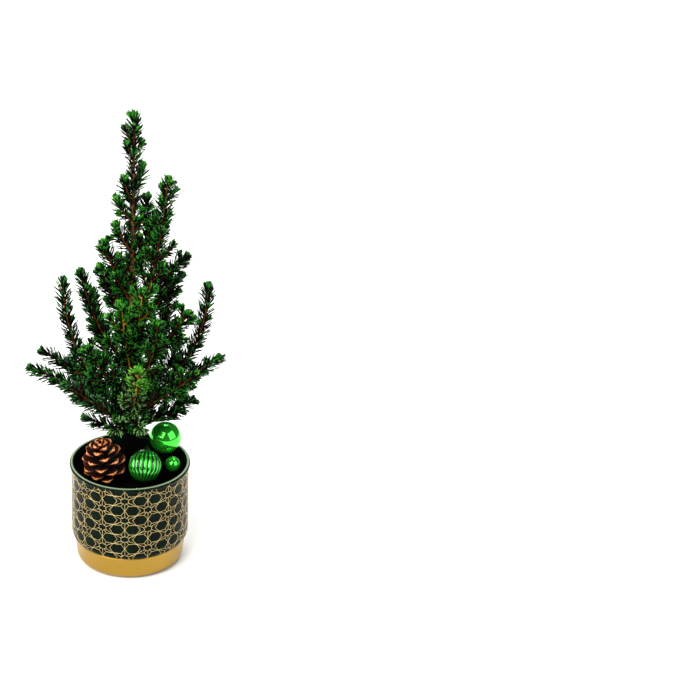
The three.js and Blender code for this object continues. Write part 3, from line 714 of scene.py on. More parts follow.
def cone_wood():
    """Dry cone scale: woody and dark on its inner face, painted near black towards its root as shade
    between the scales, with a thick paler rim, partly weathered and partly a painted highlight, that runs
    to orange-tan at the very edge. The UV map's first value grows to 1 at the scale's edge, so the rim
    follows the edge."""
    material, tree = new_material("cone_wood")
    coordinates = add(tree, "TexCoord")
    split = add(tree, "SeparateXYZ", links={"Vector": coordinates.outputs["UV"]})
    grain = add(tree, "TexNoise", {"Scale": per_metre(1.6), "Detail": 4.0},
                {"Vector": coordinates.outputs["Object"]})
    shifted = add(tree, "Math", {"operation": "MULTIPLY_ADD", 1: 0.1}, {0: grain.outputs["Fac"]})
    tree.links.new(split.outputs["X"], shifted.inputs[2])
    # Painted shade and highlight: near black at the scale's root, dark brown on its face, and pale
    # orange-tan at the rim.
    colour = add(tree, "ValToRGB", links={"Fac": shifted.outputs[0]},
                 stops=[(0.3, "060201"), (0.65, "1E0803"), (0.88, "441608"), (0.915, "843C18"),
                        (0.945, "D88C4A")])
    bump = add(tree, "Bump", {"Strength": 0.4, "Distance": 0.3 * MM}, {"Height": grain.outputs["Fac"]})
    shader = add(tree, "BsdfPrincipled", {"Roughness": 0.32},
                 {"Base Color": colour.outputs["Color"], "Normal": bump.outputs["Normal"]})
    add(tree, "OutputMaterial", links={"Surface": shader.outputs[0]})
    return material


def green_bauble():
    """Blown ball, silvered inside the colour and lacquered: a bright green mirror under a clear coat,
    with the faint unevenness of the blown wall. The colour is painted darker in the pleats, near black
    at their bottom, as shade in the creases, where the UV map's first value falls to 0."""
    material, tree = new_material("green_bauble")
    coordinates = add(tree, "TexCoord")
    split = add(tree, "SeparateXYZ", links={"Vector": coordinates.outputs["UV"]})
    # Painted shade in the pleats: near black at a pleat's bottom, bright green on the crests and on the
    # plain baubles.
    lacquer = add(tree, "ValToRGB", links={"Fac": split.outputs["X"]},
                  stops=[(0.0, "010A02"), (0.5, "0E5214"), (0.9, "36CC32")])
    wall = add(tree, "TexNoise", {"Scale": per_metre(8), "Detail": 0.0},
               {"Vector": coordinates.outputs["Object"]})
    bump = add(tree, "Bump", {"Strength": 0.06, "Distance": 0.3 * MM}, {"Height": wall.outputs["Fac"]})
    shader = add(tree, "BsdfPrincipled",
                 {"Metallic": 0.75, "Roughness": 0.08, "Coat Weight": 0.5, "Coat Roughness": 0.03},
                 {"Base Color": lacquer.outputs["Color"], "Normal": bump.outputs["Normal"]})
    add(tree, "OutputMaterial", links={"Surface": shader.outputs[0]})
    return material


def cap_metal():
    """Stamped tin cap and wire under a dark green lacquer: small sharp glints."""
    material, tree = new_material("cap_metal")
    place = add(tree, "TexCoord").outputs["Object"]
    scuffs = add(tree, "TexNoise", {"Scale": per_metre(1.5), "Detail": 3.0}, {"Vector": place})
    rough = add(tree, "MapRange", {"To Min": 0.22, "To Max": 0.4}, {"Value": scuffs.outputs["Fac"]})
    shader = add(tree, "BsdfPrincipled", {"Base Color": linear("1C3A1E"), "Metallic": 1.0},
                 {"Roughness": rough.outputs["Result"]})
    add(tree, "OutputMaterial", links={"Surface": shader.outputs[0]})
    return material


def studio_floor():
    """Matt white paper sweep."""
    material, tree = new_material("studio_floor")
    shader = add(tree, "BsdfPrincipled", {"Base Color": linear("E4E4E2"), "Roughness": 0.9})
    add(tree, "OutputMaterial", links={"Surface": shader.outputs[0]})
    return material


# Pot
def pot_wall_profile():
    """Closed section of the glazed wall: in under the step, round the step, up the straight body, out
    to the lip, over it, and down the inside."""
    step_radius = BODY_RADIUS - STEP_INSET
    lip = RIM_HEIGHT - LIP_ROUND
    return np.concatenate([
        run((WALL_RADIUS - 2, STEP_HEIGHT), (step_radius, STEP_HEIGHT)),
        arc(step_radius, STEP_HEIGHT + STEP_ROUND, STEP_INSET, STEP_ROUND, -80, 0, 12),
        run((BODY_RADIUS, (STEP_HEIGHT + RIM_HEIGHT) / 2)),
        eased((BODY_RADIUS, SWELL_LOW), (SWELL_RADIUS, SWELL_HIGH), 7),
        arc(RIM_RADIUS - LIP_ROUND, lip, LIP_ROUND, LIP_ROUND, 0, 180, 17),
        eased((RIM_RADIUS - 2 * LIP_ROUND, lip - 0.6), (WALL_RADIUS, LIP_LOW - 2), 5),
        run((WALL_RADIUS, STEP_HEIGHT + 6)),
    ])


def foot_profile():
    """Section of the gold foot: a flat underside, a round lower edge, a wall that widens a little to
    the step, and the shallow cup inside."""
    return np.concatenate([
        run((1.0, 0)),
        arc(FOOT_LOW_RADIUS - FOOT_ROUND, FOOT_ROUND, FOOT_ROUND, FOOT_ROUND, -90, 0, 14),
        run((FOOT_TOP_RADIUS - 0.1, STEP_HEIGHT - 1.2)),
        arc(FOOT_TOP_RADIUS - FOOT_EDGE, STEP_HEIGHT - FOOT_EDGE, FOOT_EDGE, FOOT_EDGE, 0, 90, 5),
        run((FOOT_INSIDE, STEP_HEIGHT), (FOOT_INSIDE - 3, FOOT_FLOOR + 4), (FOOT_INSIDE - 8, FOOT_FLOOR),
            (1.0, FOOT_FLOOR)),
    ])


def body_radius_at(height):
    """Outer radius of the glazed body: straight, round below the step's upper edge, and swelling to the
    lip on a half cosine."""
    drop = np.clip((STEP_HEIGHT + STEP_ROUND - height) / STEP_ROUND, 0, 1)
    swell = np.clip((height - SWELL_LOW) / (SWELL_HIGH - SWELL_LOW), 0, 1)
    step = STEP_INSET * (1 - np.sqrt(1 - drop ** 2))
    return BODY_RADIUS - step + (SWELL_RADIUS - BODY_RADIUS) * swung(swell)


def star_lines():
    """Ends of the lines of one star, in periods from its centre, on an even six-fold plan: the zigzag
    of the star, an arm from each tip to halfway to the next star, the edges of the cells round it, and
    a spoke from a notch to a cell's corner, but not to the two corners level with the star."""
    lines = []

    def at(radius, degrees):
        return radius * math.cos(math.radians(degrees)), radius * math.sin(math.radians(degrees))

    for k in range(6):
        notch, tip = 60 * k, 60 * k + 30
        halfway, corner = at(0.5, tip), at(CELL_RADIUS, notch)
        lines.append((at(STAR_NOTCH, notch), at(STAR_TIP, tip)))
        lines.append((at(STAR_TIP, tip), at(STAR_NOTCH, notch + 60)))
        lines.append((at(STAR_TIP, tip), halfway))
        lines.append((corner, halfway))
        lines.append((corner, at(0.5, tip - 60)))
        if k % 3:
            lines.append((at(STAR_NOTCH, notch), corner))
    return np.array(lines)


def lattice_lines():
    """All lines as angle round the pot and height, in one array of line, end and coordinate. The plan
    is stretched so that an even number of columns closes round the body."""
    column_angle = 2 * math.pi / STAR_COLUMNS
    plan = star_lines() * np.array([column_angle / (math.sqrt(3) / 2), STAR_PERIOD])
    rows = math.ceil((RIM_HEIGHT - STEP_HEIGHT) / STAR_PERIOD) + 1
    lines = []
    for column in range(STAR_COLUMNS):
        angle = math.radians(STAR_TURN - 90) + column * column_angle
        for row in range(-1, rows):
            height = RIM_HEIGHT - STAR_BELOW_RIM - STAR_PERIOD * (row + (column % 2) / 2)
            lines.append(plan + (angle, height))
    return clipped(np.concatenate(lines), LATTICE_FOOT, LATTICE_TOP)


def clipped(lines, low, high):
    """Lines cut to the heights between low and high; those outside are dropped."""
    start, end = lines[:, 0], lines[:, 1]
    rise = end[:, 1] - start[:, 1]
    level = np.abs(rise) <= 1e-3
    rise = np.where(np.abs(rise) < 1e-6, 1e-6, rise)
    shares = np.sort(np.stack([(low - start[:, 1]) / rise, (high - start[:, 1]) / rise], -1), -1)
    first, last = np.clip(shares, 0, 1).T
    inside = (start[:, 1] > low) & (start[:, 1] < high)
    keep = (last - first > 0.05) & (inside | ~level)
    step = end - start
    return np.stack([start + step * first[:, None], start + step * last[:, None]], 1)[keep]


def lattice_points(lines, stations=6):
    """A raised strip along each line, a little longer than it: at each station four corners, left and
    right of the line by half its width, sunk in the glaze and proud of it, laid on the body's curve."""
    share = np.linspace(0, 1, stations)[None, :, None]
    middle = lines[:, :1] * (1 - share) + lines[:, 1:] * share
    flat = np.stack([middle[..., 0] * BODY_RADIUS, middle[..., 1]], -1)
    ahead = unit(flat[:, -1:] - flat[:, :1])
    across = np.stack([ahead[..., 1], -ahead[..., 0]], -1) * LINE_WIDTH / 2
    past_end = np.where(share == 0, -LINE_PAST_END, np.where(share == 1, LINE_PAST_END, 0))
    rings = []
    for side, rise in ((1, -LINE_SINK), (0.8, LINE_RISE), (-0.8, LINE_RISE), (-1, -LINE_SINK)):
        spot = flat + ahead * past_end + across * side
        height = spot[..., 1]
        rings.append(polar(body_radius_at(height) + rise, spot[..., 0] / BODY_RADIUS, height))
    rings = np.stack(rings, 2)
    ends = rings[:, [0, -1]].mean(2)
    points = np.concatenate([rings.reshape(len(lines), -1, 3), ends], 1)
    return points, tube_faces(stations, len(rings[0, 0]))


def make_pot():
    """The glazed wall and the gold foot, each turned from its section, and the lattice on the wall."""
    profile = pot_wall_profile()
    wall = Shell().add(turned(profile, POT_SECTORS), loop_faces(len(profile), POT_SECTORS))
    wall.piece("glazed_pot", dark_green_glaze(), "dark_green_glaze", ["pot"])
    profile = foot_profile()
    foot = with_poles(turned(profile, POT_SECTORS), 0, FOOT_FLOOR)
    foot = Shell().add(foot, tube_faces(len(profile), POT_SECTORS))
    foot.piece("gold_foot", gold_lustre("gold_foot_lustre", "AA883A", 0.34), "gold_lustre", ["pot_foot"])
    lattice = Shell().add(*lattice_points(lattice_lines()))
    lattice.piece("gold_lattice", gold_lustre("gold_line_lustre", "F4D896", 0.3), "gold_lustre", ["pot"])


# Soil
def blobs(centres, sizes, seed):
    """Small lumps: a ball of three rings of six points and two poles round each centre, each point
    pushed in or out at random, flattened a little and turned at random."""
    dice = np.random.default_rng(seed)
    rings, sides = 3, 6
    rise = np.cos(math.pi * (np.arange(rings) + 1) / (rings + 1))[::-1]
    grid = polar(np.sqrt(1 - rise ** 2)[:, None], turns(sides), rise[:, None])
    ball = with_poles(grid.reshape(-1, 3), rise[0] - 0.3, rise[-1] + 0.3)
    lumps = ball[None] * dice.uniform(0.7, 1.25, (len(centres), len(ball), 1))
    axes, _ = np.linalg.qr(dice.normal(size=(len(centres), 3, 3)))
    axes[np.linalg.det(axes) < 0, :, 0] *= -1
    lumps = lumps * dice.uniform(0.6, 1.2, (len(centres), 1, 3)) * sizes[:, None, None]
    return lumps @ axes.transpose(0, 2, 1) + centres[:, None, :], tube_faces(rings, sides)


def soil_relief(points):
    """Low waves with smaller ones on them."""
    return 0.9 * ripples(points, 14, 5) + 0.5 * ripples(points, 5, 6)


def make_soil():
    """Earth whose section follows the foot's cup and the wall inside, with crumbs and grit on top."""
    earth = potting_soil()
    side = run((1, FOOT_FLOOR + GAP), (FOOT_INSIDE - 9, FOOT_FLOOR + GAP),
               (FOOT_INSIDE - 3.8, FOOT_FLOOR + 4.6), (FOOT_INSIDE - 0.6, STEP_HEIGHT),
               (WALL_RADIUS - 0.6, STEP_HEIGHT + 6), (WALL_RADIUS - 0.5, SOIL_LEVEL - 0.7))
    radii = np.linspace(WALL_RADIUS - 1.4, 0.8, SOIL_RINGS)
    profile = np.concatenate([side, np.stack([radii, np.full(len(radii), SOIL_LEVEL)], -1)])
    points = turned(profile, SOIL_SECTORS)
    top = points[len(side) * SOIL_SECTORS:]
    top[:, 2] += soil_relief(top)
    points = with_poles(points, FOOT_FLOOR + GAP, SOIL_LEVEL)
    body = Shell().add(points, tube_faces(len(profile), SOIL_SECTORS))
    body.piece("potting_soil", earth, "potting_soil", ["soil"])
    dice = np.random.default_rng(11)
    reach = (WALL_RADIUS - 2.5) * np.sqrt(dice.uniform(0, 1, CRUMBS))
    centres = polar(reach, dice.uniform(0, 2 * math.pi, CRUMBS), SOIL_LEVEL)
    centres[:, 2] += soil_relief(centres)
    smallest, larger = CRUMB_SIZES
    sizes = smallest + larger * dice.uniform(0, 1, CRUMBS) ** 3
    crumbs = Shell().add(*blobs(centres, sizes, 12))
    crumbs.piece("soil_crumbs", earth, "potting_soil", ["soil"])
    chosen = (centres[:, 1] < GRIT_BEFORE) & (dice.uniform(0, 1, CRUMBS) < GRIT_SHARE)
    centres = centres[chosen] + (0, 0, 0.5)
    grit = Shell().add(*blobs(centres, np.full(len(centres), GRIT_SIZE), 13))
    grit.piece("white_grit", white_grit(), "potting_soil", ["soil"])


# Growth
class Dice:
    """Seeded dice, the same as the construction's, so both grow the same plant."""

    def __init__(self, seed):
        self.state = seed % 2 ** 32

    def __call__(self, low, high):
        self.state = (self.state * 1664525 + 1013904223) % 2 ** 32
        return low + (high - low) * self.state / 2 ** 32

    def skip(self):
        """Passes over a draw that only the construction uses."""
        self(0, 1)


def trunk_axis(height):
    """Trunk axis: a slow bow to the right and back with a lean to the right."""
    height = np.asarray(height, float)
    share = (height - GROUND) / (TRUNK_TOP - GROUND)
    x = TRUNK_LEAN * np.maximum(share, 0) ** 1.5 + TRUNK_BOW * np.sin(math.pi * share)
    return np.stack([x, TRUNK_DEPTH * np.sin(2.2 * share), height], -1)


def trunk_radius(height):
    """The tip's radius, plus a taper from the foot, plus a flare that dies away above the soil."""
    share = np.clip((height - GROUND) / (TRUNK_TOP - GROUND), 0, 1)
    flare = FLARE_RADIUS * np.exp(-np.maximum(height - GROUND, 0) / FLARE_HEIGHT)
    return TRUNK_TIP_RADIUS + TRUNK_TAPER * (1 - share) ** 1.1 + flare


def bough_path(height, bearing, length, slope):
    """Path of a bough: steps of one size whose slope goes evenly from the first to the second."""
    share = (np.arange(BOUGH_STEPS) + 0.5) / BOUGH_STEPS
    rise = np.radians(between(*slope, share))
    heading = polar(np.cos(rise), math.radians(bearing), np.sin(rise))
    steps = np.cumsum(heading * length / BOUGH_STEPS, 0)
    return trunk_axis(height) + np.concatenate([[[0, 0, 0]], steps])


def forked(stem, distance, turn, fork, reach):
    """Path of a side shoot: it leaves the stem at a distance along it, by the fork angle and towards
    the turn round it, and bends up at each step."""
    point, forward = along(stem, distance)
    heading = spoke(forward[0], np.radians(turn), np.radians(fork))
    path = [point[0]]
    for _ in range(SHOOT_STEPS):
        path.append(path[-1] + heading * reach / SHOOT_STEPS)
        heading = unit(heading + UP * SHOOT_RISE)
    return np.array(path)


def side_shoots(stem, dice, bush):
    """Side shoots of a stem, in a golden spiral, shorter towards its tip and ending just above it at
    most, and none where it would be very short. They stand closer than the construction's, and may
    be shorter."""
    length = lengths(stem)[-1]
    longest = min(SHOOT_LONGEST, length * SHOOT_SHARE) * bush
    turn = dice(0, 360)
    distance = BARE_START + dice(0, BARE_MORE)
    shoots = []
    while distance < length - TIP_LENGTH:
        turn += GOLDEN_TURN
        fork = dice(*SHOOT_FORK)
        wanted = longest * (1 - SHOOT_TAPER * distance / length) * dice(*SHOOT_SIZES)
        reach = max(min(wanted, length - distance + TIP_PASS), SHOOT_SHORTEST)
        if wanted > SHOOT_LEAST:
            shoots.append(forked(stem, distance, turn, fork, reach))
        dice.skip()
        distance += SHOOT_SPACING * dice(*SPACING_SIZES)
    return shoots


def finer_twigs(shoot, dice):
    """Twigs of a side shoot, limb or stretch of trunk, in a golden spiral at one spacing. Each is as
    long as a share of what is left of the shoot, within limits."""
    length = lengths(shoot)[-1]
    turn = dice(0, 360)
    distance = TWIG_START
    twigs = []
    while distance < length - TIP_LENGTH:
        turn += GOLDEN_TURN
        reach = min(max((length - distance) * TWIG_SHARE, TWIG_SHORTEST), TWIG_LONGEST)
        twigs.append(forked(shoot, distance, turn, dice(*TWIG_FORK), reach))
        distance += TWIG_SPACING
    return twigs


def grow():
    """All stems, shoots and twigs: a list of path, rank and tint, with the naked limbs apart."""
    limbs, growths = [], []

    def branch(stem, dice, bush, tint):
        """Adds a stem, and its side shoots with their twigs, of the older tint near its root."""
        growths.append((stem, 0, tint))
        for shoot in side_shoots(stem, dice, bush):
            share = np.linalg.norm(shoot[0] - stem[0]) / np.linalg.norm(stem[-1] - stem[0])
            shoot_tint = OLDER_TINT.get(tint, tint) if share < YOUNG_SHARE else tint
            growths.append((shoot, 1, shoot_tint))
            add_twigs(shoot, dice, shoot_tint)

    def add_twigs(path, dice, tint):
        growths.extend((twig, 2, tint) for twig in finer_twigs(path, dice))

    for index, (_, height, bearing, length, slope, bare, bush, tint) in enumerate(BOUGHS):
        whole = bough_path(height, bearing, length, slope)
        naked = bare * length
        if bare:
            limbs.append(cut_path(whole, 0, naked, LIMB_STEPS))
            add_twigs(limbs[-1], Dice(index), OLDER_TINT.get(tint, tint))
        stem = cut_path(whole, naked + GAP if bare else 0, length, BOUGH_STEPS)
        dice = Dice(BOUGH_SEED * (index + 1))
        dice.skip()
        branch(stem, dice, bush, tint)
    leader = trunk_axis(np.linspace(TRUNK_TOP + GAP, PLANT_TOP, LEADER_STEPS + 1))
    dice = Dice(LEADER_SEED)
    branch(leader, dice, 1, "leaf")
    for low, high in TRUNK_TWIGS:
        add_twigs(trunk_axis(np.linspace(low, high, TRUNK_TWIG_STEPS + 1)), dice, "leaf")
    return limbs, growths


def in_the_way(points):
    """True where a point lies below the crown's skirt, which rises to the front where the decorations
    are, or in the cone, or in a bauble or just before it, where the needles were pushed aside."""
    blocked = points[..., 2] < GROUND + SKIRT_HEIGHT - SKIRT_RISE * points[..., 1]
    for _, centre, radius, _, _ in BAUBLES:
        offset = points - np.array(centre)
        ahead = np.clip(offset @ TO_FRONT, 0, FRONT_ROOM)
        blocked |= np.linalg.norm(offset - ahead[..., None] * TO_FRONT, axis=-1) < radius + BAUBLE_ROOM
    axis = cone_axis()
    rise = (points - CONE_BASE) @ axis
    away = np.linalg.norm(points - CONE_BASE - rise[..., None] * axis, axis=-1)
    width = cone_width(np.clip(rise / CONE_HEIGHT, 0, 1))
    return blocked | (rise < CONE_HEIGHT) & (away < width + CONE_ROOM)


def needles_on(path, rank, dice):
    """Needles of one growth: base points, directions, the stem's direction, lengths and kinds. Side
    needles follow a golden spiral and lean out by about half a right angle, less towards the tip. The
    brush's start near the wood's end and reach about to the growth's end, and those that spread least
    are its buds. Side needles in a main stem's older part are a kind of their own."""
    length = lengths(path)[-1]
    start = NEEDLE_START[rank]
    end = max(length - WOOD_SHORT[rank], start + 1)
    number = np.arange(int((end - start) * NEEDLES_PER_MM[rank]))
    count = len(number)
    side_at = between(start, end, (number + 0.5) / max(count, 1))
    side_turn = np.radians(GOLDEN_TURN) * number + dice.uniform(-TURN_STRAY, TURN_STRAY, count)
    near_tip = np.clip(1 - (end - side_at) / TIP_ZONE, 0, 1)
    near_foot = np.clip(1 - (side_at - start) / FOOT_ZONE, 0, 1)
    side_lean = SIDE_LEAN - TIP_LEAN_LESS * near_tip + dice.uniform(-LEAN_SPREAD, LEAN_SPREAD, count)
    side_size = NEEDLE_LENGTH[rank] * dice.uniform(*SIDE_SIZES, count)
    side_size *= (1 - END_SHORTER * near_foot) * (1 - END_SHORTER * near_tip)
    brush = BRUSH_NEEDLES[rank]
    brush_at = end - BRUSH_DEPTH * dice.uniform(0, 1, brush) ** 2
    spread = BRUSH_SPREAD * np.sqrt(dice.uniform(0, 1, brush))
    brush_size = (length - brush_at) * dice.uniform(*BRUSH_SIZES, brush)
    turn = np.concatenate([side_turn, dice.uniform(0, 2 * math.pi, brush)])
    sizes = np.concatenate([side_size, brush_size])
    side_kind = np.where((rank == 0) & (side_at < YOUNG_SHARE * length), OLDER, SIDE)
    kind = np.concatenate([side_kind, np.where(spread < BUD_SPREAD, BUD, BRUSH)])
    base, forward = along(path, np.concatenate([side_at, brush_at]))
    lean = np.radians(np.concatenate([side_lean, spread]))
    return base, spoke(forward, turn, lean), forward, sizes, kind


def needles_on_trunk(dice):
    """Needles that still stand on the upper trunk: few where the bark shows, more towards the top."""
    share = dice.uniform(0, 1, TRUNK_NEEDLES) ** 0.7
    forward = np.broadcast_to(UP, (TRUNK_NEEDLES, 3))
    lean = np.radians(dice.uniform(*TRUNK_NEEDLE_LEAN, TRUNK_NEEDLES))
    direction = spoke(forward, dice.uniform(0, 2 * math.pi, TRUNK_NEEDLES), lean)
    base = trunk_axis(between(*TRUNK_NEEDLE_HEIGHTS, share))
    return base, direction, forward, dice.uniform(*TRUNK_NEEDLE_LENGTH, TRUNK_NEEDLES)


def needle_points(base, direction, forward, sizes):
    """Three-sided blades: a ring at the foot, one at the shoulder, and the tip, which bends a little
    towards the way the stem grows."""
    side = unit(np.cross(direction, first_side(direction)))
    other = np.cross(direction, side)
    corner = around(side[:, None], other[:, None], turns(3)) * NEEDLE_RADIUS
    sizes = sizes[:, None]
    shoulder = base + unit(direction + BODY_BEND * forward) * sizes * SHOULDER_AT
    tip = shoulder + unit(direction + TIP_BEND * forward) * sizes * (1 - SHOULDER_AT)
    low = base[:, None] + corner * FOOT_GIRTH
    high = shoulder[:, None] + corner * SHOULDER_GIRTH
    return np.concatenate([low, high, tip[:, None]], 1)


def make_needles(growths):
    """Needles sorted by colour into joined pieces. Each growth's kinds of needles are dealt from four
    deals: its side needles', its brush's, its buds', and its older part's. A twig's brush has the
    twig's own tint, and its buds have what a shoot's brush has."""
    shades = {name: [] for name in NEEDLE_COLOURS}
    dice = np.random.default_rng(NEEDLE_SEED)
    for path, rank, tint in growths:
        base, direction, forward, sizes, kind = needles_on(path, rank, dice)
        points = needle_points(base, direction, forward, sizes)
        free = ~in_the_way(points[:, -1]) & ~in_the_way(base)
        free &= dice.uniform(0, 1, len(points)) < KEPT.get(tint, 1)
        if rank == 0:
            free &= direction @ TO_FRONT < PARTING
        dealt = dice.integers(0, 4, len(points))
        brush, bud = ENDS[tint]
        ends = (tint, brush) if rank == 2 else (brush, bud)
        for number, deal in enumerate((tint, *ends, OLDER_TINT.get(tint, tint))):
            for place, shade in enumerate(DEALS[deal]):
                shades[shade].append(points[free & (kind == number) & (dealt == place)])
    shades["deep"].append(needle_points(*needles_on_trunk(dice)))
    for shade, (code, shadow) in NEEDLE_COLOURS.items():
        finish = needle_wax(shade + "_needles", code, shadow)
        points = np.concatenate(shades[shade])
        for number, part in enumerate(np.array_split(points, math.ceil(len(points) / MOST_NEEDLES))):
            shell = Shell().add(part, needle_faces(), np.tile(NEEDLE_MARKS, len(part)))
            shell.piece(f"needles_{shade}_{number + 1}", finish, "needles", nodes_of("foliage_"))


def make_wood(limbs, growths):
    """Trunk, naked limbs and the wood of every growth: tubes along their paths. The trunk's and the
    limbs' radius rises and falls by a share in ripples, and the wood's by a ridge at every second
    ring."""
    flare = np.linspace(GROUND, FLARE_TOP, FLARE_RINGS)
    height = np.concatenate([flare[:-1], np.arange(FLARE_TOP, TRUNK_TOP, TRUNK_RING_STEP)])
    path = trunk_axis(height)
    radius = trunk_radius(height)[:, None]
    smooth = tube_points(path, radius, TRUNK_SIDES)[:-2].reshape(len(height), TRUNK_SIDES, 3)
    radius = radius * (1 + TRUNK_RELIEF * ripples(smooth, TRUNK_PLATES, 3, 30))
    points = tube_points(path, radius, TRUNK_SIDES)
    trunk = Shell().add(points, tube_faces(len(height), TRUNK_SIDES))
    trunk.piece("trunk_bark", bark("trunk_bark", "2A180D", "704A2A", 3.0), "bark", ["trunk"])
    boughs = Shell()
    for limb in limbs:
        radius = between(*LIMB_RADIUS, np.linspace(0, 1, len(limb))[:, None])
        radius = radius * (1 + LIMB_RELIEF * ripples(limb[:, None], LIMB_PLATES, 4))
        boughs.add(tube_points(limb, radius, LIMB_SIDES), tube_faces(len(limb), LIMB_SIDES))
    boughs.piece("bough_bark", bark("bough_bark", "180C06", "44281A", 2.5), "bark", nodes_of("bough_"))
    young, fresh = Shell(), Shell()
    for path, rank, tint in growths:
        rings = WOOD_RINGS[rank]
        wood = cut_path(path, 0, lengths(path)[-1] - WOOD_SHORT[rank], rings - 1)
        if not in_the_way(wood[-1]):
            radius = between(*WOOD_RADIUS[rank], np.linspace(0, 1, rings))
            radius = radius + WOOD_RIDGE * (np.arange(rings) % 2)
            shell = fresh if tint in ("fresh", "lively") else young
            shell.add(tube_points(wood, radius[:, None], WOOD_SIDES), tube_faces(rings, WOOD_SIDES))
    foliage = nodes_of("foliage_")
    young.piece("young_wood", bark("young_bark", "34180A", "6E3A1A", 2.0), "bark", foliage)
    fresh.piece("fresh_wood", bark("fresh_bark", "8A5A1E", "C2922F", 2.0), "bark", foliage)


# Pine cone
def cone_axis():
    """Way that the cone points: up, tilted towards its bearing."""
    lean = math.radians(CONE_TILT)
    return polar(math.sin(lean), math.radians(CONE_LEANS), math.cos(lean))


def cone_width(share):
    """Outer radius of the open cone at a share of its height: widest halfway, and as wide at its top as
    at its base."""
    return CONE_RADIUS * np.sin(math.pi * (0.2 + 0.6 * share)) ** 0.6


def rounding(row, start):
    """Falls from 1 at a start as a quarter of an ellipse, which would end just past the last row."""
    share = ((row - start) / (SCALE_ROUND_END - start)).clip(0)
    return np.sqrt(1 - share ** 2)


def scale_points():
    """Scales in a golden spiral up a core. Each is a closed cup: its middle line leaves the core low,
    curls up, and reaches the cone's width. Across it the loop of points is a flat oval, bent up at the
    sides by the cube of the distance from the middle. It is narrow at the core and round at the tip."""
    rows, sides = 11, 12
    number = np.arange(CONE_SCALES)[:, None]
    share = number / (CONE_SCALES - 1)
    row = 1 - (1 - np.linspace(0, 1, rows)) ** 1.6
    gaps = np.diff(row, prepend=0.0)
    slope = np.radians(between(*SCALE_SLOPE, share ** 1.8)) + np.radians(SCALE_CURL) * row ** 1.5
    longer = SCALE_LONGER_HALFWAY * np.sin(math.pi * share ** 0.8) - SCALE_SHORTER_ABOVE * share ** 5
    size = SCALE_LENGTH + longer
    away = between(*CORE_RADIUS, share) + np.cumsum(np.cos(slope) * gaps, 1) * size
    rise = between(*SCALE_ROOT, share) + np.cumsum(np.sin(slope) * gaps, 1) * size
    widening = 0.34 + 0.66 * np.sin(math.pi / 2 * np.minimum(row / 0.7, 1))
    width = between(*SCALE_HALF_WIDTH, share ** 3) * widening * rounding(row, SCALE_ROUND_FROM)
    thick = between(*SCALE_THICKNESS, row ** 4) * rounding(row, SCALE_THIN_FROM)
    loop = turns(sides)
    to_side = np.abs(np.cos(loop)) ** 3
    up = SCALE_CUP * row[:, None] ** 2 * to_side + 0.9 * thick[:, None] * np.sin(loop)
    radial = away[..., None] - up * np.sin(slope)[..., None]
    height = rise[..., None] + up * np.cos(slope)[..., None]
    bend = width[..., None] * np.cos(loop) / np.maximum(radial, 3)
    plan = polar(radial, np.radians(GOLDEN_TURN) * number[..., None] + bend, height)
    axis = cone_axis()
    east = unit(np.cross([0, 1.0, 0], axis))
    points = CONE_BASE + plan @ np.stack([east, np.cross(axis, east), axis])
    points[..., 2] = np.maximum(points[..., 2], GROUND - 0.5)
    poles = points[:, [0, -1]].mean(2)
    points = np.concatenate([points.reshape(CONE_SCALES, -1, 3), poles], 1)
    # Colour marks: 0 at the scale's root, painted near black as shade between the scales, up to about 0.9
    # at the rim and along the sides, painted pale as weathering and highlight.
    side_rim = to_side * np.clip(row[:, None] * 2 - 0.4, 0, 1) * 0.97
    rim = 0.9 * np.maximum(side_rim, row[:, None])
    return points, tube_faces(rows, sides), np.tile(np.append(rim, [0, 1]), CONE_SCALES)


def make_cone():
    """The scales on a core, a tube that tapers upwards."""
    wood = cone_wood()
    scales = Shell().add(*scale_points())
    scales.piece("cone_scales", wood, "cone_scales", ["pine_cone"])
    rings, sides = 12, 16
    share = np.linspace(0, 1, rings)[:, None]
    path = CONE_BASE + cone_axis() * between(0.5, CONE_HEIGHT - 8.5, share)
    points = tube_points(path, between(*CORE_TUBE, share), sides)
    # The core's marks are 0, so it takes the darkest colour, painted as shade deep among the scales.
    core = Shell().add(points, tube_faces(rings, sides), np.zeros(len(points)))
    core.piece("cone_core", wood, "cone_scales", ["pine_cone"])


# Baubles
def rounded(path):
    """Path whose corners are cut twice, a quarter of each side from the corner."""
    for _ in range(2):
        cut = np.stack([path[:-1] * 0.75 + path[1:] * 0.25, path[:-1] * 0.25 + path[1:] * 0.75], 1)
        path = np.concatenate([path[:1], cut.reshape(-1, 3), path[-1:]])
    return path


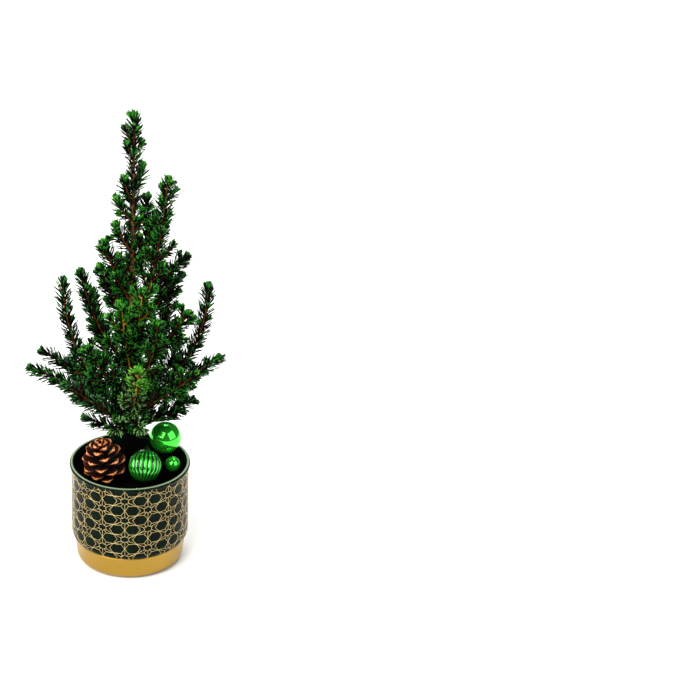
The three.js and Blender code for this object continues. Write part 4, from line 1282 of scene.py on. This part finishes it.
def make_bauble(name, centre, radius, toward, ribs, mirror, metal):
    """Ball of rings round its axis, whose radius dips in sharp pleats where it is ribbed, with a crimped
    cap, and a wire that leaves the cap and slants down beside the ball to the soil."""
    centre = np.array(centre)
    axis = unit(np.array(toward))
    rings, sides = 48, max(96, ribs * 8)
    lat = math.pi * (np.arange(rings) + 0.5) / rings
    turn = turns(sides)
    round_at = np.sin(lat)[:, None]
    pleat = np.abs(np.sin(turn * ribs / 2)) if ribs else 1 + 0 * turn
    wall = radius * round_at * (1 - PLEAT_DEPTH * (1 - pleat) * round_at ** 0.7)
    points = tube_points(centre - axis * (radius * np.cos(lat))[:, None], wall, sides)
    points[-2:] = [centre - axis * radius, centre + axis * radius]
    # The marks are the pleat's depth, 0 at a pleat's bottom, where the colour is painted darkest as
    # shade, and 1 on the plain baubles.
    ball = Shell().add(points, tube_faces(rings, sides), np.append(np.tile(pleat, rings), [1, 1]))
    ball.piece(name + "_ball", mirror, "green_bauble", [name])
    rise, share = CAP_RINGS[:, :1], CAP_RINGS[:, 1:]
    cap_radius = CAP_SHARE * radius * share * (1 + CRIMP_DEPTH * np.cos(CAP_CRIMPS * turn))
    cap = tube_points(centre + axis * (rise + radius - CAP_SINK), cap_radius, sides)
    fittings = Shell().add(cap, tube_faces(len(rise), sides))
    bend = centre + axis * (radius + CAP_HEIGHT + 0.3)
    aside = unit(axis * (1, 1, 0))
    east, north, _ = centre + aside * (radius + WIRE_ROOM)
    wire = rounded(np.array([centre + axis * (radius + 1), bend, bend + aside * WIRE_BEND,
                             (east, north, GROUND + WIRE_FOOT), (east, north, GROUND - 1)]))
    wire = cut_path(wire, 0, lengths(wire)[-1], WIRE_STEPS)
    fittings.add(tube_points(wire, WIRE_RADIUS, WIRE_SIDES), tube_faces(len(wire), WIRE_SIDES))
    fittings.piece(name + "_cap", metal, "green_bauble", [name])


# Camera, floor and light
CAMERA_DISTANCE = 2300.0
CAMERA_PITCH = 26.5
AIM_HEIGHT = 221.9
LENS = 127.1
SENSOR = 36.0
PHOTO_WIDTH = 696
PLANT_COLUMN = 130
FLOOR_HALF = 8.0
SKY_STRENGTH = 0.1

# Soft boxes, in metres: place, size, watts and colour. All are turned to the plant's lower half.
LIGHTS = [
    ("key", (-3.0, -3.4, 4.6), 5.0, 800, "FFFDF8"),
    ("fill", (4.4, -2.8, 3.2), 5.5, 220, "F8FBFF"),
    ("top", (0.2, 1.6, 4.8), 4.0, 300, "FFFFFF"),
]
LIGHT_AIM = Vector((0, 0, 0.2))


def make_camera():
    """The photograph's view: from the front and above, turned to the right about the camera's own
    upright so that the plant stands at its own place left of the middle."""
    pitch = math.radians(CAMERA_PITCH)
    pixels = LENS / SENSOR * PHOTO_WIDTH
    pan = math.atan((PHOTO_WIDTH / 2 - PLANT_COLUMN) / pixels)
    ahead = Vector((0, math.cos(pitch), -math.sin(pitch)))
    upright = Vector((0, math.sin(pitch), math.cos(pitch)))
    spot = Vector((0, 0, AIM_HEIGHT)) - ahead * CAMERA_DISTANCE
    look = ahead * math.cos(pan) + Vector((1, 0, 0)) * math.sin(pan)
    data = bpy.data.cameras.new("camera")
    data.lens, data.sensor_width, data.clip_end = LENS, SENSOR, 50
    camera = bpy.data.objects.new("camera", data)
    axes = Matrix((look.cross(upright), upright, -look)).transposed().to_4x4()
    camera.matrix_world = Matrix.Translation(spot * MM) @ axes
    bpy.context.collection.objects.link(camera)
    bpy.context.scene.camera = camera


def make_light(name, place, size, watts, tone):
    """A soft box: a square area light, turned to its aim."""
    data = bpy.data.lights.new(name, "AREA")
    data.shape, data.size, data.energy, data.color = "SQUARE", size, watts, linear(tone)[:3]
    lamp = bpy.data.objects.new(name, data)
    lamp.location = place
    lamp.rotation_euler = (LIGHT_AIM - Vector(place)).to_track_quat("-Z", "Y").to_euler()
    bpy.context.collection.objects.link(lamp)


def make_stage():
    """A flat square of floor under the plant, an even sky, and the lights."""
    mesh = bpy.data.meshes.new("floor")
    corners = [(x * FLOOR_HALF, y * FLOOR_HALF, 0) for x, y in ((-1, -1), (1, -1), (1, 1), (-1, 1))]
    mesh.from_pydata(corners, [], [(0, 1, 2, 3)])
    mesh.materials.append(studio_floor())
    floor = bpy.data.objects.new("floor", mesh)
    bpy.context.collection.objects.link(floor)
    world = bpy.data.worlds.new("studio")
    world.use_nodes = True
    world.node_tree.nodes.clear()
    sky = add(world.node_tree, "Background", {"Color": linear("FFFFFF"), "Strength": SKY_STRENGTH})
    add(world.node_tree, "OutputWorld", links={"Surface": sky.outputs[0]})
    bpy.context.scene.world = world
    bpy.context.scene.view_settings.view_transform = "Standard"
    for light in LIGHTS:
        make_light(*light)


make_camera()
make_stage()
make_pot()
make_soil()
naked_limbs, all_growths = grow()
make_wood(naked_limbs, all_growths)
make_needles(all_growths)
make_cone()
green, tin = green_bauble(), cap_metal()
for bauble in BAUBLES:
    make_bauble(*bauble, green, tin)
